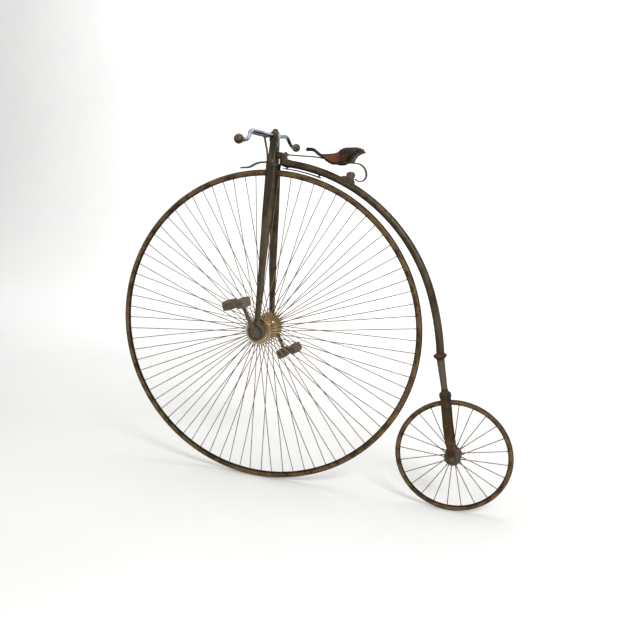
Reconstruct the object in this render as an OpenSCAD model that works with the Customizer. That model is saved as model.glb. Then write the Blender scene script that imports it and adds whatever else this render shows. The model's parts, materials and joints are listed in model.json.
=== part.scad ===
/* [Wheels] */
// Outside diameter of the front tyre
front_wheel_d = 1320; // [1300:1:1340]
// Outside diameter of the rear tyre
rear_wheel_d = 460; // [440:1:470]
// Thickness of the solid front tyre
front_tyre_d = 22; // [20:1:24]
// Thickness of the solid rear tyre
rear_tyre_d = 18; // [16:1:20]
// Number of spokes in the front wheel
front_spokes_n = 80; // [40:2:96]
// Number of spokes in the rear wheel
rear_spokes_n = 24; // [16:2:32]
// Thickness of a spoke
spoke_d = 3; // [2:0.1:4]
// Distance from the front hub back to the rear hub
wheelbase = 820; // [810:1:840]

/* [Hubs] */
// Radius of the front hub flanges
front_flange_r = 54; // [44:1:58]
// Outer face of each front hub flange from the middle
front_flange_y = 78; // [70:1:79]
// Radius of the front axle
axle_r = 10; // [8:0.5:12]
// Radius of the rear hub flanges
rear_flange_r = 33; // [24:1:34]
// Outer face of each rear hub flange from the middle
rear_flange_y = 29; // [24:1:31]
// Radius of the rear axle
rear_axle_r = 5; // [4:0.5:6]

/* [Cranks] */
// Length of a crank between its centres
crank_l = 140; // [120:1:150]
// Angle of the left crank above the road's direction
crank_angle = 62; // [0:1:90]
// Thickness of a crank
crank_t = 12; // [9:1:13]
// Length of a pedal along the road
pedal_l = 94; // [80:1:100]
// Width of a pedal
pedal_w = 86; // [70:1:90]
// Tilt of the left pedal
pedal_tilt_left = 14; // [-30:1:30]
// Tilt of the right pedal
pedal_tilt_right = 27; // [-30:1:30]

/* [Frame] */
// Thickness of the backbone
backbone_d = 30.6; // [28:0.2:32]
// Upper end of the tapered tail of the backbone
tail_top_d = 31; // [28:1:31]
// Lower end of the tapered tail of the backbone
tail_low_d = 24; // [20:1:26]
// Height of the rider's seat above the road
seat_height = 1400; // [1397:1:1403]
// Place of the rider's seat along the road from the front hub
seat_place = -275; // [-285:1:-265]

/* [Steering] */
// Place of the steering axis along the road from the front hub
steer_x = -6; // [-7:1:-5]
// Half width of the handlebar at the middle of the grips
grip_y = 369; // [360:1:380]
// Radius of a ball grip
grip_r = 18.5; // [17:0.5:20]

/* [Hidden] */
$fn = 64;

// Colours
olive_steel = [0.44, 0.41, 0.33];
dark_steel = [0.20, 0.17, 0.14];
rusty_steel = [0.42, 0.32, 0.24];
bright_steel = [0.62, 0.64, 0.68];
gunmetal_brass = [0.60, 0.47, 0.27];
tyre_rubber = [0.36, 0.31, 0.24];
pedal_rubber = [0.27, 0.20, 0.15];
grip_horn = [0.52, 0.40, 0.30];
saddle_brown = [0.45, 0.22, 0.16];

// Radial gap between a shaft and its bore
run_gap = 0.05;
// Gap that the braze fills between a tube and its socket
braze_gap = 0.3;
// Hubs
front_r = front_wheel_d / 2;
rear_r = rear_wheel_d / 2;
rear_x = -wheelbase;
// Bearing cases and cranks, outwards from the middle
case_in = 86;
case_out = 108;
case_r = 37;
case_foot = 4;
leg_low_y = 97;
crank_in = case_out + 5;
crank_out = crank_in + crank_t;
crank_mid = (crank_in + crank_out) / 2;
pedal_in = crank_out + 5;
pedal_out = pedal_in + pedal_w;
pin_r = 6;
// Backbone: one large bend over the wheel, then a gentler one
bend_c = [2, 628];
bend_r = 721.5;
bend_start = 94.9;
bend_end = 159.6;
tail_bend_r = 1087;
tail_bend_c = bend_c + (bend_r - tail_bend_r) * [cos(bend_end), sin(bend_end)];
tail_bend_end = 172.7;
// The rear fork leans on a line that goes through the rear hub
rear_lean = 12.2;
collar_up = 412;
crown_up = 262;
// Heights of the steering head
crown_low = 1336;
crown_top = 1358;
slot_top = 1432;
head_top = 1468;
cap_top = 1483;
bar_z = 1455;
spindle_r = 7;
spindle_low = 1350;
spindle_top = 1438;
// Saddle spring
leaf_w = 26;
leaf_t = 4;
curl_top = [-344, 1313];
curl_top_r = 45;
curl_low_r = 24.5;
roller_c = [-327, 1311];
roller_r = 14;
// Strip that keeps mud off the rider
strip_r = 667.5;
strip_t = 2.4;

function unit(v) = v / norm(v);
function mix(a, b, t) = a + (b - a) * t;
function tangent(p, i) = unit(p[min(i + 1, len(p) - 1)] - p[max(i - 1, 0)]);
// Point at t on the curve that goes from b to c, with a before it and d after it
function curve_point(a, b, c, d, t) =
    0.5 * (2 * b + (c - a) * t + (2 * a - 5 * b + 4 * c - d) * t * t + (3 * b - a - 3 * c + d) * t * t * t);
function curve(p, steps) = concat(
    [for (i = [0 : len(p) - 2])
        for (k = [0 : steps - 1])
            curve_point(p[max(i - 1, 0)], p[i], p[i + 1], p[min(i + 2, len(p) - 1)], k / steps)],
    [p[len(p) - 1]]);
function arc(c, r, from, to, steps, first = 0) = [for (k = [first : steps])
    c + r * [cos(mix(from, to, k / steps)), sin(mix(from, to, k / steps))]];

// A round bar that follows a path, with radius from r_start to r_end
module bar_along(path, r_start, r_end, ref, sides = 16) {
    n = len(path);
    points = [for (i = [0 : n - 1])
        let (t = tangent(path, i))
        let (a = unit(cross(t, ref)))
        let (b = cross(a, t))
        let (r = mix(r_start, r_end, i / (n - 1)))
        for (k = [0 : sides - 1])
            path[i] + r * cos(360 * k / sides) * a + r * sin(360 * k / sides) * b];
    walls = [for (i = [0 : n - 2])
        for (k = [0 : sides - 1])
            let (m = (k + 1) % sides)
            [i * sides + k, i * sides + m, (i + 1) * sides + m, (i + 1) * sides + k]];
    ends = [[for (k = [0 : sides - 1]) sides - 1 - k], [for (k = [0 : sides - 1]) (n - 1) * sides + k]];
    polyhedron(points = points, faces = concat(walls, ends), convexity = 6);
}

// A flat strip seen from the side, bent along a path in the XZ plane
module strip_along(path, thick, width) {
    n = len(path);
    side = [for (i = [0 : n - 1])
        let (t = tangent(path, i))
        path[i] + thick / 2 * [-t[1], t[0]]];
    other = [for (i = [n - 1 : -1 : 0])
        let (t = tangent(path, i))
        path[i] - thick / 2 * [-t[1], t[0]]];
    side_extrude(width) polygon(concat(side, other));
}

// Extrudes an XZ outline along Y, centred on y
module side_extrude(width, y = 0) {
    translate([0, y + width / 2, 0])
        rotate([90, 0, 0])
            linear_extrude(width)
                children();
}

// A cylinder along Y between two values of y
module across(r, from, to, x = 0, z = 0) {
    translate([x, from, z])
        rotate([-90, 0, 0])
            cylinder(r = r, h = to - from);
}

// Puts the hub of a wheel in place, with its axle along Y
module at_front_hub() {
    translate([0, 0, front_r])
        children();
}
module at_rear_hub() {
    translate([rear_x, 0, rear_r])
        children();
}
// The rear fork's frame: its origin on the rear axle and its Z along the tail
module along_tail() {
    at_rear_hub()
        rotate([0, rear_lean, 0])
            children();
}
// Everything is drawn over the road and then moved so that the seat is the origin
module seated() {
    translate([-seat_place, 0, -seat_height])
        children();
}

module bend(c, r, from, to, d) {
    translate([c[0], 0, c[1]])
        rotate([90, 0, 0])
            rotate([0, 0, from])
                rotate_extrude(angle = to - from, $fn = 96)
                    translate([r, 0])
                        circle(d = d);
}

module backbone() {
    color(olive_steel)
        seated()
            bend(bend_c, bend_r, bend_start, bend_end, backbone_d);
}

module backbone_lower() {
    color(olive_steel)
        seated()
            bend(tail_bend_c, tail_bend_r, bend_end, tail_bend_end, backbone_d);
}

module neck() {
    web_t = 8;
    web_low = 1364;
    lug_w = 24;
    plug_l = 10;
    tube_x = bend_c[0] + bend_r * cos(bend_start);
    tube_z = bend_c[1] + bend_r * sin(bend_start);
    color(olive_steel)
        seated() {
            translate([steer_x, 0, spindle_low])
                cylinder(r = spindle_r, h = spindle_top - spindle_low);
            side_extrude(web_t)
                polygon([[steer_x, web_low], [-32, web_low], [-32, 1340], [-50, 1334], [-50, 1376],
                         [-45.5, 1380], [-45.5, 1389], [-24, 1392], [-16, 1400], [steer_x, 1406]]);
            side_extrude(lug_w)
                polygon([[-40, 1363], [-46, 1350], [-59, 1350], [-59, 1375.5], [-54, 1379], [-45.5, 1380.3],
                         [-45.5, 1385.5], [-40, 1389]]);
            translate([tube_x, 0, tube_z])
                rotate([0, 180 - bend_start, 0]) {
                    cylinder(d = backbone_d, h = plug_l);
                    translate([0, 0, plug_l])
                        cylinder(d1 = backbone_d, d2 = 14, h = plug_l);
                }
        }
}

module backbone_tail() {
    color(dark_steel)
        along_seat_tail()
            translate([0, 0, crown_up])
                cylinder(d1 = tail_low_d, d2 = tail_top_d, h = collar_up - crown_up - 14);
}
module along_seat_tail() {
    seated()
        along_tail()
            children();
}

module mounting_step() {
    collar_r = 25.5;
    bead = 7;
    color(rusty_steel)
        difference() {
            along_seat_tail()
                translate([0, 0, collar_up - 14]) {
                    cylinder(d1 = tail_top_d, d2 = 2 * collar_r, h = bead);
                    translate([0, 0, bead])
                        cylinder(r = collar_r, h = 10);
                    translate([0, 0, bead + 10])
                        cylinder(r1 = collar_r, r2 = 17, h = 5);
                }
            seated()
                bend(tail_bend_c, tail_bend_r, bend_end, tail_bend_end, backbone_d + 2 * braze_gap);
        }
}

module rear_fork_crown() {
    block_up = 240;
    color(rusty_steel)
        along_seat_tail() {
            translate([0, 0, crown_up - 6])
                cylinder(r1 = 23, r2 = 16, h = 6);
            hull() {
                translate([0, 0, block_up + 2])
                    scale([24, 33, 1])
                        cylinder(r = 1, h = 4, $fn = 32);
                translate([0, 0, crown_up - 8])
                    cylinder(r = 23, h = 2, $fn = 32);
            }
        }
}

module rear_blade(side) {
    blade_t = 7;
    color(dark_steel)
        along_seat_tail()
            difference() {
                hull() {
                    translate([-17.5, side * 25.5 - blade_t / 2, 236])
                        cube([35, blade_t, 6]);
                    translate([-13, side * 35.5 - blade_t / 2, 110])
                        cube([34, blade_t, 1]);
                    across(15, side * 44 - blade_t / 2, side * 44 + blade_t / 2);
                }
                across(rear_axle_r + run_gap, side * 44 - 10, side * 44 + 10);
            }
}
module rear_fork_left() {
    rear_blade(1);
}
module rear_fork_right() {
    rear_blade(-1);
}

module rear_axle() {
    nut_in = 48;
    nut_out = 57;
    color(dark_steel)
        seated()
            at_rear_hub() {
                across(rear_axle_r, -nut_out - 4, nut_out + 4);
                for (y = [-nut_out, nut_in])
                    across(11, y, y + nut_out - nut_in, $fn = 6);
            }
}

module saddle_spring() {
    curl_low = curl_top - [curl_top_r - curl_low_r, 0];
    path = concat(
        curve([[-46, 1383], [-95, 1379.5], [-150, 1378], [-190, 1375.8], [-240, 1367.5], [-300, 1359.5]], 4),
        arc(curl_top, curl_top_r, 92, 180, 14),
        arc(curl_low, curl_low_r, 180, 322, 16, 1));
    color(dark_steel)
        seated()
            strip_along(path, leaf_t, leaf_w);
}

module spring_roller() {
    head_in = 18.5;
    head_out = 22;
    color(dark_steel)
        seated() {
            across(roller_r, -11, 11, roller_c[0], roller_c[1]);
            across(5, -head_out, head_out, roller_c[0], roller_c[1]);
            for (y = [-head_out, head_in])
                across(roller_r, y, y + head_out - head_in, roller_c[0], roller_c[1]);
        }
}

module roller_lug() {
    ear_in = 12;
    ear_t = 6;
    color(olive_steel)
        seated()
            difference() {
                for (side = [-1, 1])
                    side_extrude(ear_t, side * (ear_in + ear_t / 2))
                        polygon([[-286, 1299], [-292, 1305], [-300, 1309], [-308, 1307], [-313, 1303],
                                 [-319, 1310], [-322, 1317], [-327, 1319], [-332, 1317], [-335, 1310],
                                 [-337, 1296], [-342, 1284], [-340, 1273], [-318, 1283]]);
                across(5 + run_gap, -30, 30, roller_c[0], roller_c[1]);
                bend(bend_c, bend_r, bend_start, bend_end, backbone_d);
            }
}

module saddle_nose_iron() {
    path = curve([[-142, 1399], [-158, 1401], [-174, 1398], [-188, 1387], [-202, 1379.6], [-216, 1375.9]], 4);
    color(bright_steel)
        seated()
            strip_along(path, 4, 14);
}

module saddle_cantle() {
    post_w = 30;
    cross_w = 60;
    color(dark_steel)
        seated() {
            side_extrude(post_w)
                polygon([[-324, 1361], [-337, 1361], [-339, 1382], [-352, 1394], [-366, 1400],
                         [-362, 1406], [-345, 1400], [-330, 1388]]);
            side_extrude(cross_w)
                polygon([[-338, 1401], [-356, 1397], [-368, 1398], [-364, 1404], [-352, 1406]]);
        }
}

// Leather top: [place, crown height, half width, skirt height]
saddle_rows = [[-141, 1410.5, 12, 1401], [-152, 1413, 15, 1400], [-170, 1411.5, 17, 1399],
               [-184, 1402, 20, 1393], [-200, 1391, 25, 1385], [-218, 1390, 32, 1373],
               [-238, 1391.5, 41, 1358.5], [-260, 1395, 52, 1349.5], [-275, 1400.5, 62, 1348.5],
               [-287, 1411, 70, 1350.5], [-302, 1417, 78, 1357], [-318, 1418.5, 85, 1360.5],
               [-331, 1419, 88, 1384], [-345, 1419.5, 84, 1394], [-356, 1418, 72, 1398],
               [-366, 1413, 54, 1398], [-374, 1405, 36, 1398.5]];
leather_t = 4;
function row_at(v, s) = let (i = min(floor(s), len(v) - 2))
    curve_point(v[max(i - 1, 0)], v[i], v[i + 1], v[min(i + 2, len(v) - 1)], s - i);
// A point on the leather: s along the saddle, t from -1 to 1 across it
function leather(s, t, inside) = let (r = row_at(saddle_rows, s))
    let (drop = (r[1] - r[3]) * pow(abs(t), 3.2))
    [r[0], (r[2] - inside) * t * (1.25 - 0.25 * t * t), r[1] - inside * (1 - pow(abs(t), 6)) - drop];

module saddle_leather() {
    rows = 32;
    cols = 24;
    last = len(saddle_rows) - 1;
    grid = [for (inside = [0, leather_t])
        for (i = [0 : rows])
            for (j = [0 : cols])
                leather(last * i / rows, 2 * j / cols - 1, inside)];
    wide = cols + 1;
    skin = wide * (rows + 1);
    top = [for (i = [0 : rows - 1])
        for (j = [0 : cols - 1])
            let (a = i * wide + j)
            [a, a + 1, a + wide + 1, a + wide]];
    under = [for (f = top) [for (k = [3 : -1 : 0]) f[k] + skin]];
    ends = [for (j = [0 : cols - 1])
        for (row = [0, rows])
            let (a = row * wide + j)
            row == 0 ? [a, a + skin, a + skin + 1, a + 1] : [a, a + 1, a + skin + 1, a + skin]];
    edges = [for (i = [0 : rows - 1])
        for (col = [0, cols])
            let (a = i * wide + col)
            col == 0 ? [a, a + wide, a + skin + wide, a + skin] : [a, a + skin, a + skin + wide, a + wide]];
    color(saddle_brown)
        seated()
            polyhedron(points = grid, faces = concat(top, under, ends, edges), convexity = 8);
}

module mud_strip() {
    from = 94.2;
    to = 108;
    strip_w = 26;
    color(bright_steel)
        seated() {
            at_front_hub()
                rotate([90, 0, 0])
                    rotate([0, 0, from])
                        rotate_extrude(angle = to - from, $fn = 96)
                            translate([strip_r - strip_t / 2, -strip_w / 2])
                                square([strip_t, strip_w]);
            difference() {
                for (a = [from + 1.2, to - 0.8])
                    at_front_hub()
                        rotate([0, 90 - a, 0])
                            translate([0, 0, strip_r])
                                cylinder(r = 5, h = 16);
                bend(bend_c, bend_r, bend_start - 3, bend_end, backbone_d + 2 * braze_gap);
            }
        }
}

module fork_crown() {
    color(olive_steel)
        seated()
            difference() {
                translate([-4, 0, crown_low])
                    linear_extrude(crown_top - crown_low)
                        hull() {
                            for (side = [-1, 1])
                                translate([0, side * 22])
                                    circle(r = 17);
                        }
                translate([steer_x, 0, spindle_low - 0.3])
                    cylinder(r = spindle_r + run_gap, h = 30);
            }
}

// The head: a rounded block in plan, with cheeks that taper towards the top
module head_block() {
    corner_r = 8;
    intersection() {
        translate([0, 0, crown_top])
            linear_extrude(head_top - crown_top)
                hull()
                    for (x = [-22 + corner_r, 13 - corner_r])
                        for (y = [-26, 26])
                            translate([x, y])
                                circle(r = corner_r);
        translate([-40, 0, 0])
            rotate([90, 0, 90])
                linear_extrude(80)
                    polygon([[-34, crown_top], [34, crown_top], [28, 1380], [24, 1410], [21, 1450],
                             [20, head_top], [-20, head_top], [-21, 1450], [-24, 1410], [-28, 1380]]);
    }
}

module steering_head() {
    opening = 58;
    color(olive_steel)
        seated()
            difference() {
                head_block();
                translate([steer_x, 0, crown_top - 1])
                    linear_extrude(slot_top - crown_top + 1) {
                        circle(r = 13);
                        for (turn = [0, 180])
                            rotate([0, 0, turn])
                                polygon([[0, 0], 40 * [cos(opening), sin(opening)], [40, 0],
                                         40 * [cos(opening), -sin(opening)]]);
                    }
                translate([steer_x, 0, slot_top - 1])
                    cylinder(r = spindle_r + run_gap, h = spindle_top - slot_top + 1.3);
                across(9 + run_gap, -30, 30, 0, bar_z);
            }
}

module head_cap() {
    color(dark_steel)
        seated()
            translate([steer_x, 0, head_top]) {
                cylinder(r = 15, h = 5);
                translate([0, 0, 5])
                    cylinder(r = 10, h = cap_top - head_top - 5, $fn = 6);
            }
}

module fork_leg(side) {
    color(olive_steel)
        seated()
            hull() {
                translate([-5, side * 28, crown_low - 4])
                    scale([22, 9.5, 1])
                        cylinder(r = 1, h = 4, $fn = 40);
                translate([0, side * leg_low_y, front_r + case_r + case_foot])
                    scale([12, 8, 1])
                        cylinder(r = 1, h = 1, $fn = 40);
            }
}
module fork_left() {
    fork_leg(1);
}
module fork_right() {
    fork_leg(-1);
}

module bearing_case(turn) {
    color(dark_steel)
        seated()
            at_front_hub()
                rotate([0, 0, turn])
                    difference() {
                        union() {
                            across(case_r, case_in + 3, case_out - 3);
                            across(case_r - 4, case_in, case_out);
                            translate([0, leg_low_y, 0])
                                cylinder(r = 8, h = case_r + case_foot);
                        }
                        across(axle_r + run_gap, case_in - 1, case_out + 1);
                    }
}
module bearing_left() {
    bearing_case(0);
}
module bearing_right() {
    bearing_case(180);
}

// Half of the handlebar, from the head out to the grip
bar_half = [[0, 60, 1455.5], [4, 110, 1457], [11, 170, 1460], [15, 218, 1461.5], [14, 243, 1454],
            [11, 259, 1440], [9.5, 282, 1427.5], [11.2, 304, 1422.8], [11.5, 323, 1422.5],
            [11.5, 345, 1422.5]];
function flip(p) = [p[0], -p[1], p[2]];
module handlebar() {
    outer = curve(bar_half, 3);
    n = len(outer);
    color(bright_steel)
        seated() {
            bar_along(concat([[0, 0, bar_z]], outer), 9, 7, [1, 0, 0]);
            mirror([0, 1, 0])
                bar_along(concat([[0, 0, bar_z]], outer), 9, 7, [1, 0, 0]);
        }
}

module grip(side) {
    neck_in = 322;
    ball = grip_y - neck_in;
    color(grip_horn)
        seated()
            translate([11.5, side * neck_in, 1422.5])
                rotate([-90 * side, 0, 0])
                    difference() {
                        union() {
                            translate([0, 0, ball])
                                sphere(r = grip_r);
                            cylinder(r1 = 9, r2 = 13, h = ball - 12);
                        }
                        translate([0, 0, -1])
                            cylinder(r = 7.6, h = 25);
                    }
}
module grip_left() {
    grip(1);
}
module grip_right() {
    grip(-1);
}

module brake_lever() {
    path = curve([[38, -6, 1452], [37, 12, 1452], [31, 60, 1451], [26, 120, 1451], [26, 180, 1453],
                  [27, 215, 1454]], 4);
    color(dark_steel)
        seated() {
            bar_along(path, 5.5, 4, [1, 0, 0], 12);
            // Bracket on the front of the head
            difference() {
                translate([13, -9, 1446])
                    cube([21, 6, 12]);
                bar_along([[0, -60, bar_z], [0, 60, bar_z]], 9, 9, [1, 0, 0]);
            }
        }
}

module brake_rod() {
    path = curve([[35, 12, 1446], [27, 12, 1416], [20.5, 12, 1389], [17.5, 12, 1362], [17.5, 12, 1354]], 4);
    color(dark_steel)
        seated()
            bar_along(path, 3.5, 3.5, [0, 1, 0], 12);
}

module brake_spoon() {
    path = curve([[15.5, 1348], [40, 1348], [58, 1345], [74, 1339], [90, 1330], [104, 1325], [135, 1322]], 4);
    color(rusty_steel)
        seated()
            difference() {
                strip_along(path, 6, 22);
                across(2, -20, 20, 24, 1348);
            }
}

// Rubber ring of a wheel, outside radius r and thickness d
module tyre_ring(r, d) {
    rotate([90, 0, 0])
        rotate_extrude($fn = 144)
            translate([r - d / 2, 0])
                circle(d = d, $fn = 48);
}
// Steel rim that holds the inner half of the tyre
module rim_ring(r, d, wall) {
    rotate([90, 0, 0])
        rotate_extrude($fn = 144)
            difference() {
                translate([r - d / 2 - 0.5, 0])
                    circle(d = d + 2 * wall - 1, $fn = 48);
                translate([r - d / 2, 0])
                    circle(d = d, $fn = 48);
                translate([r - d / 2, -d])
                    square([d, 2 * d]);
            }
}
// Straight spokes from the flanges to the rim, alternately left and right
module spokes(n, phase, r_in, y_in, r_out, y_out) {
    reach = norm([r_out - r_in, y_in - y_out]);
    slope = atan2(y_in - y_out, r_out - r_in);
    for (i = [0 : n - 1])
        let (side = i % 2 == 0 ? 1 : -1)
            rotate([0, -(phase + i * 360 / n), 0])
                translate([r_in, side * y_in, 0])
                    rotate([0, 90, -side * slope])
                        cylinder(d = spoke_d, h = reach);
}
// Turned hub: a barrel, two flanges and end bosses round a bore
module hub(half, flange_r, flange_t, barrel_r, boss_r, boss_out, bore_r) {
    rotate([90, 0, 0])
        rotate_extrude()
            polygon([[bore_r, -boss_out], [boss_r, -boss_out], [boss_r, -half], [flange_r, -half + 1],
                     [flange_r, -half + flange_t], [barrel_r + 6, -half + flange_t + 4],
                     [barrel_r, -half + flange_t + 16], [barrel_r, half - flange_t - 16],
                     [barrel_r + 6, half - flange_t - 4], [flange_r, half - flange_t],
                     [flange_r, half - 1], [boss_r, half], [boss_r, boss_out], [bore_r, boss_out]]);
}

module front_tyre() {
    color(tyre_rubber)
        seated()
            at_front_hub()
                tyre_ring(front_r, front_tyre_d);
}
module front_rim() {
    color(rusty_steel)
        seated()
            at_front_hub()
                rim_ring(front_r, front_tyre_d, 3);
}
module front_spokes() {
    color(rusty_steel)
        seated()
            at_front_hub()
                spokes(front_spokes_n, 2.9, front_flange_r - 3, front_flange_y - 4,
                       front_r - front_tyre_d - 1.8, 3);
}
module front_hub() {
    color(gunmetal_brass)
        seated()
            at_front_hub()
                hub(front_flange_y, front_flange_r, 8, 19, 24, 81, axle_r + run_gap);
}
module front_axle() {
    color(dark_steel)
        seated()
            at_front_hub()
                across(axle_r, -crank_out - 2, crank_out + 2);
}

// A crank that points along +X from the axle
module crank(from, to) {
    eye_r = 13;
    boss_r = 19;
    difference() {
        union() {
            across(boss_r, from, to);
            across(eye_r, from, to, crank_l, 0);
            side_extrude(to - from, (from + to) / 2)
                polygon([[0, -14], [crank_l, -9], [crank_l, 9], [0, 14]]);
        }
        across(axle_r + run_gap, from - 1, to + 1);
        across(pin_r + run_gap, from - 1, to + 1, crank_l, 0);
    }
}
module at_pedal(side) {
    seated()
        at_front_hub()
            translate(side * crank_l * [cos(crank_angle), 0, sin(crank_angle)])
                children();
}
module crank_left() {
    color(dark_steel)
        seated()
            at_front_hub()
                rotate([0, -crank_angle, 0])
                    crank(crank_in, crank_out);
}
module crank_right() {
    color(dark_steel)
        seated()
            at_front_hub()
                rotate([0, 180 - crank_angle, 0])
                    crank(-crank_out, -crank_in);
}
module pedal_pin_left() {
    color(bright_steel)
        at_pedal(1)
            across(pin_r, crank_in, pedal_out + 1);
}
module pedal_pin_right() {
    color(bright_steel)
        at_pedal(-1)
            across(pin_r, -pedal_out - 1, -crank_in);
}

// The pedal's cage: two end plates, the barrel and the rods through the rubbers
module pedal_cage() {
    plate_t = 4;
    plate_h = 26;
    rod_r = 4;
    difference() {
        union() {
            for (y = [pedal_in, pedal_out - plate_t])
                side_extrude(plate_t, y + plate_t / 2) {
                    translate([-pedal_l / 2 + 12, -plate_h / 2])
                        square([pedal_l - 24, plate_h]);
                    for (x = [-1, 1])
                        translate([x * (pedal_l / 2 - 14), 0])
                            circle(d = plate_h);
                }
            across(11, pedal_in, pedal_out);
            for (x = [-30, 30])
                across(rod_r, pedal_in, pedal_out, x);
        }
        across(pin_r + run_gap, pedal_in - 1, pedal_out + 1);
    }
}
module pedal_rubbers() {
    rubber_l = 34;
    rubber_h = 33;
    for (x = [-30, 30])
        difference() {
            side_extrude(pedal_out - pedal_in - 9, (pedal_in + pedal_out) / 2)
                translate([x, 0])
                    offset(r = 5)
                        square([rubber_l - 10, rubber_h - 10], center = true);
            across(4, pedal_in, pedal_out, x);
        }
}
module pedal_cage_left() {
    color(dark_steel)
        at_pedal(1)
            rotate([0, pedal_tilt_left, 0])
                pedal_cage();
}
module pedal_rubbers_left() {
    color(pedal_rubber)
        at_pedal(1)
            rotate([0, pedal_tilt_left, 0])
                pedal_rubbers();
}
module pedal_cage_right() {
    color(dark_steel)
        at_pedal(-1)
            rotate([0, pedal_tilt_right, 0])
                mirror([0, 1, 0])
                    pedal_cage();
}
module pedal_rubbers_right() {
    color(pedal_rubber)
        at_pedal(-1)
            rotate([0, pedal_tilt_right, 0])
                mirror([0, 1, 0])
                    pedal_rubbers();
}

module rear_tyre() {
    color(tyre_rubber)
        seated()
            at_rear_hub()
                tyre_ring(rear_r, rear_tyre_d);
}
module rear_rim() {
    color(rusty_steel)
        seated()
            at_rear_hub()
                rim_ring(rear_r, rear_tyre_d, 2.5);
}
module rear_spokes() {
    color(rusty_steel)
        seated()
            at_rear_hub()
                spokes(rear_spokes_n, 1, rear_flange_r - 3, rear_flange_y - 3,
                       rear_r - rear_tyre_d - 1.4, 2);
}
module rear_hub() {
    color(gunmetal_brass)
        seated()
            at_rear_hub()
                hub(rear_flange_y, rear_flange_r, 5, 10, 13, 35, rear_axle_r + run_gap);
}

backbone();
backbone_lower();
neck();
backbone_tail();
mounting_step();
rear_fork_crown();
rear_fork_left();
rear_fork_right();
rear_axle();
saddle_spring();
spring_roller();
roller_lug();
saddle_nose_iron();
saddle_cantle();
saddle_leather();
mud_strip();
fork_crown();
steering_head();
head_cap();
fork_left();
fork_right();
bearing_left();
bearing_right();
handlebar();
grip_left();
grip_right();
brake_lever();
brake_rod();
brake_spoon();
front_tyre();
front_rim();
front_spokes();
front_hub();
front_axle();
crank_left();
crank_right();
pedal_pin_left();
pedal_pin_right();
pedal_cage_left();
pedal_rubbers_left();
pedal_cage_right();
pedal_rubbers_right();
rear_tyre();
rear_rim();
rear_spokes();
rear_hub();
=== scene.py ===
"""Finishes and details of a penny farthing bicycle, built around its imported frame.

The file is laid out as an add-on: one operator for each group of pieces, one for the stage.
Lengths in the shape code are millimetres from the point where the big wheel meets the road.
"""
import json
import math

import bmesh
import bpy
from mathutils import Matrix, Vector, noise


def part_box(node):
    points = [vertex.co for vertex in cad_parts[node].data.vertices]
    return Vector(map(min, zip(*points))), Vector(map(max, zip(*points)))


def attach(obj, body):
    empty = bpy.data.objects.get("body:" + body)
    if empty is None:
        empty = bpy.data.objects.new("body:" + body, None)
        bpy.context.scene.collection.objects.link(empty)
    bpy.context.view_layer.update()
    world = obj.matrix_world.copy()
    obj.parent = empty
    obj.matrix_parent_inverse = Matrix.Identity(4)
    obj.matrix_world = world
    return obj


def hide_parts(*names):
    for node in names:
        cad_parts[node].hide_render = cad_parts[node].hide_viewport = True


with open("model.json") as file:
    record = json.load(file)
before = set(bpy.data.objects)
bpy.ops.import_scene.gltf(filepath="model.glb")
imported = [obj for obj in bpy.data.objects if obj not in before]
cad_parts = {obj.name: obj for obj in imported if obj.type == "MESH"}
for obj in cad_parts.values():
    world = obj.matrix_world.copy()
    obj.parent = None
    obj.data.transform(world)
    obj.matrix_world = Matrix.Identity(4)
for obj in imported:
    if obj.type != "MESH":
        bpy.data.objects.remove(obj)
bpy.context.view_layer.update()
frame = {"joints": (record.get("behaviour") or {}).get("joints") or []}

bl_info = {
    "name": "Penny farthing finish",
    "version": (1, 0, 0),
    "blender": (4, 5, 0),
    "location": "View3D > Sidebar > Bicycle",
    "description": "Builds the finished surfaces of a penny farthing bicycle around its frame",
    "category": "Object",
}

MM = 0.001
JOINTS = {joint["name"]: Vector(joint["pos_m"]) for joint in frame["joints"]}
FRONT_HUB = JOINTS["front_wheel_spin"]
REAR_HUB = JOINTS["rear_wheel_spin"]
STEER_AXIS = JOINTS["steering"]
PEDALS = {1: JOINTS["left_pedal_spin"], -1: JOINTS["right_pedal_spin"]}
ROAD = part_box("front_tyre")[0].z
FRONT_R = (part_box("front_tyre")[1].z - ROAD) / 2 / MM
REAR_R = (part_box("rear_tyre")[1].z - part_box("rear_tyre")[0].z) / 2 / MM
HUB_Z = (FRONT_HUB.z - ROAD) / MM
REAR_X = (REAR_HUB.x - FRONT_HUB.x) / MM
REAR_Z = (REAR_HUB.z - ROAD) / MM
STEER_X = (STEER_AXIS.x - FRONT_HUB.x) / MM
Y = Vector((0, 1, 0))
Z = Vector((0, 0, 1))
SIDES = ((1, "left"), (-1, "right"))


def linear(hex_colour):
    """An sRGB hex colour as linear red, green and blue."""
    parts = [int(hex_colour[i:i + 2], 16) / 255 for i in (1, 3, 5)]
    return [c / 12.92 if c <= 0.04045 else ((c + 0.055) / 1.055) ** 2.4 for c in parts]


def rgba(colour):
    """A colour with its opacity."""
    return (*colour, 1)


def road(x, y, z):
    """A point given in millimetres from where the big wheel meets the road."""
    return Vector((FRONT_HUB.x + x * MM, y * MM, ROAD + z * MM))


def flat(point):
    """A point moved sideways to the bicycle's middle plane."""
    return Vector((point.x, 0, point.z))


# ---------------------------------------------------------------- shapes

def between(a, b, c, d, t):
    """A point from b to c on the rounded path through four points."""
    return 0.5 * (2 * b + (c - a) * t + (2 * a - 5 * b + 4 * c - d) * t * t
                  + (3 * b - a - 3 * c + d) * t ** 3)


def smooth_path(points, steps):
    """A rounded path through points, with steps pieces between neighbours."""
    points = [Vector(p) for p in points]
    last = len(points) - 1
    path = []
    for i in range(last):
        a, b, c, d = points[max(i - 1, 0)], points[i], points[i + 1], points[min(i + 2, last)]
        path += [between(a, b, c, d, k / steps) for k in range(steps)]
    return path + [points[last]]


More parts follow.
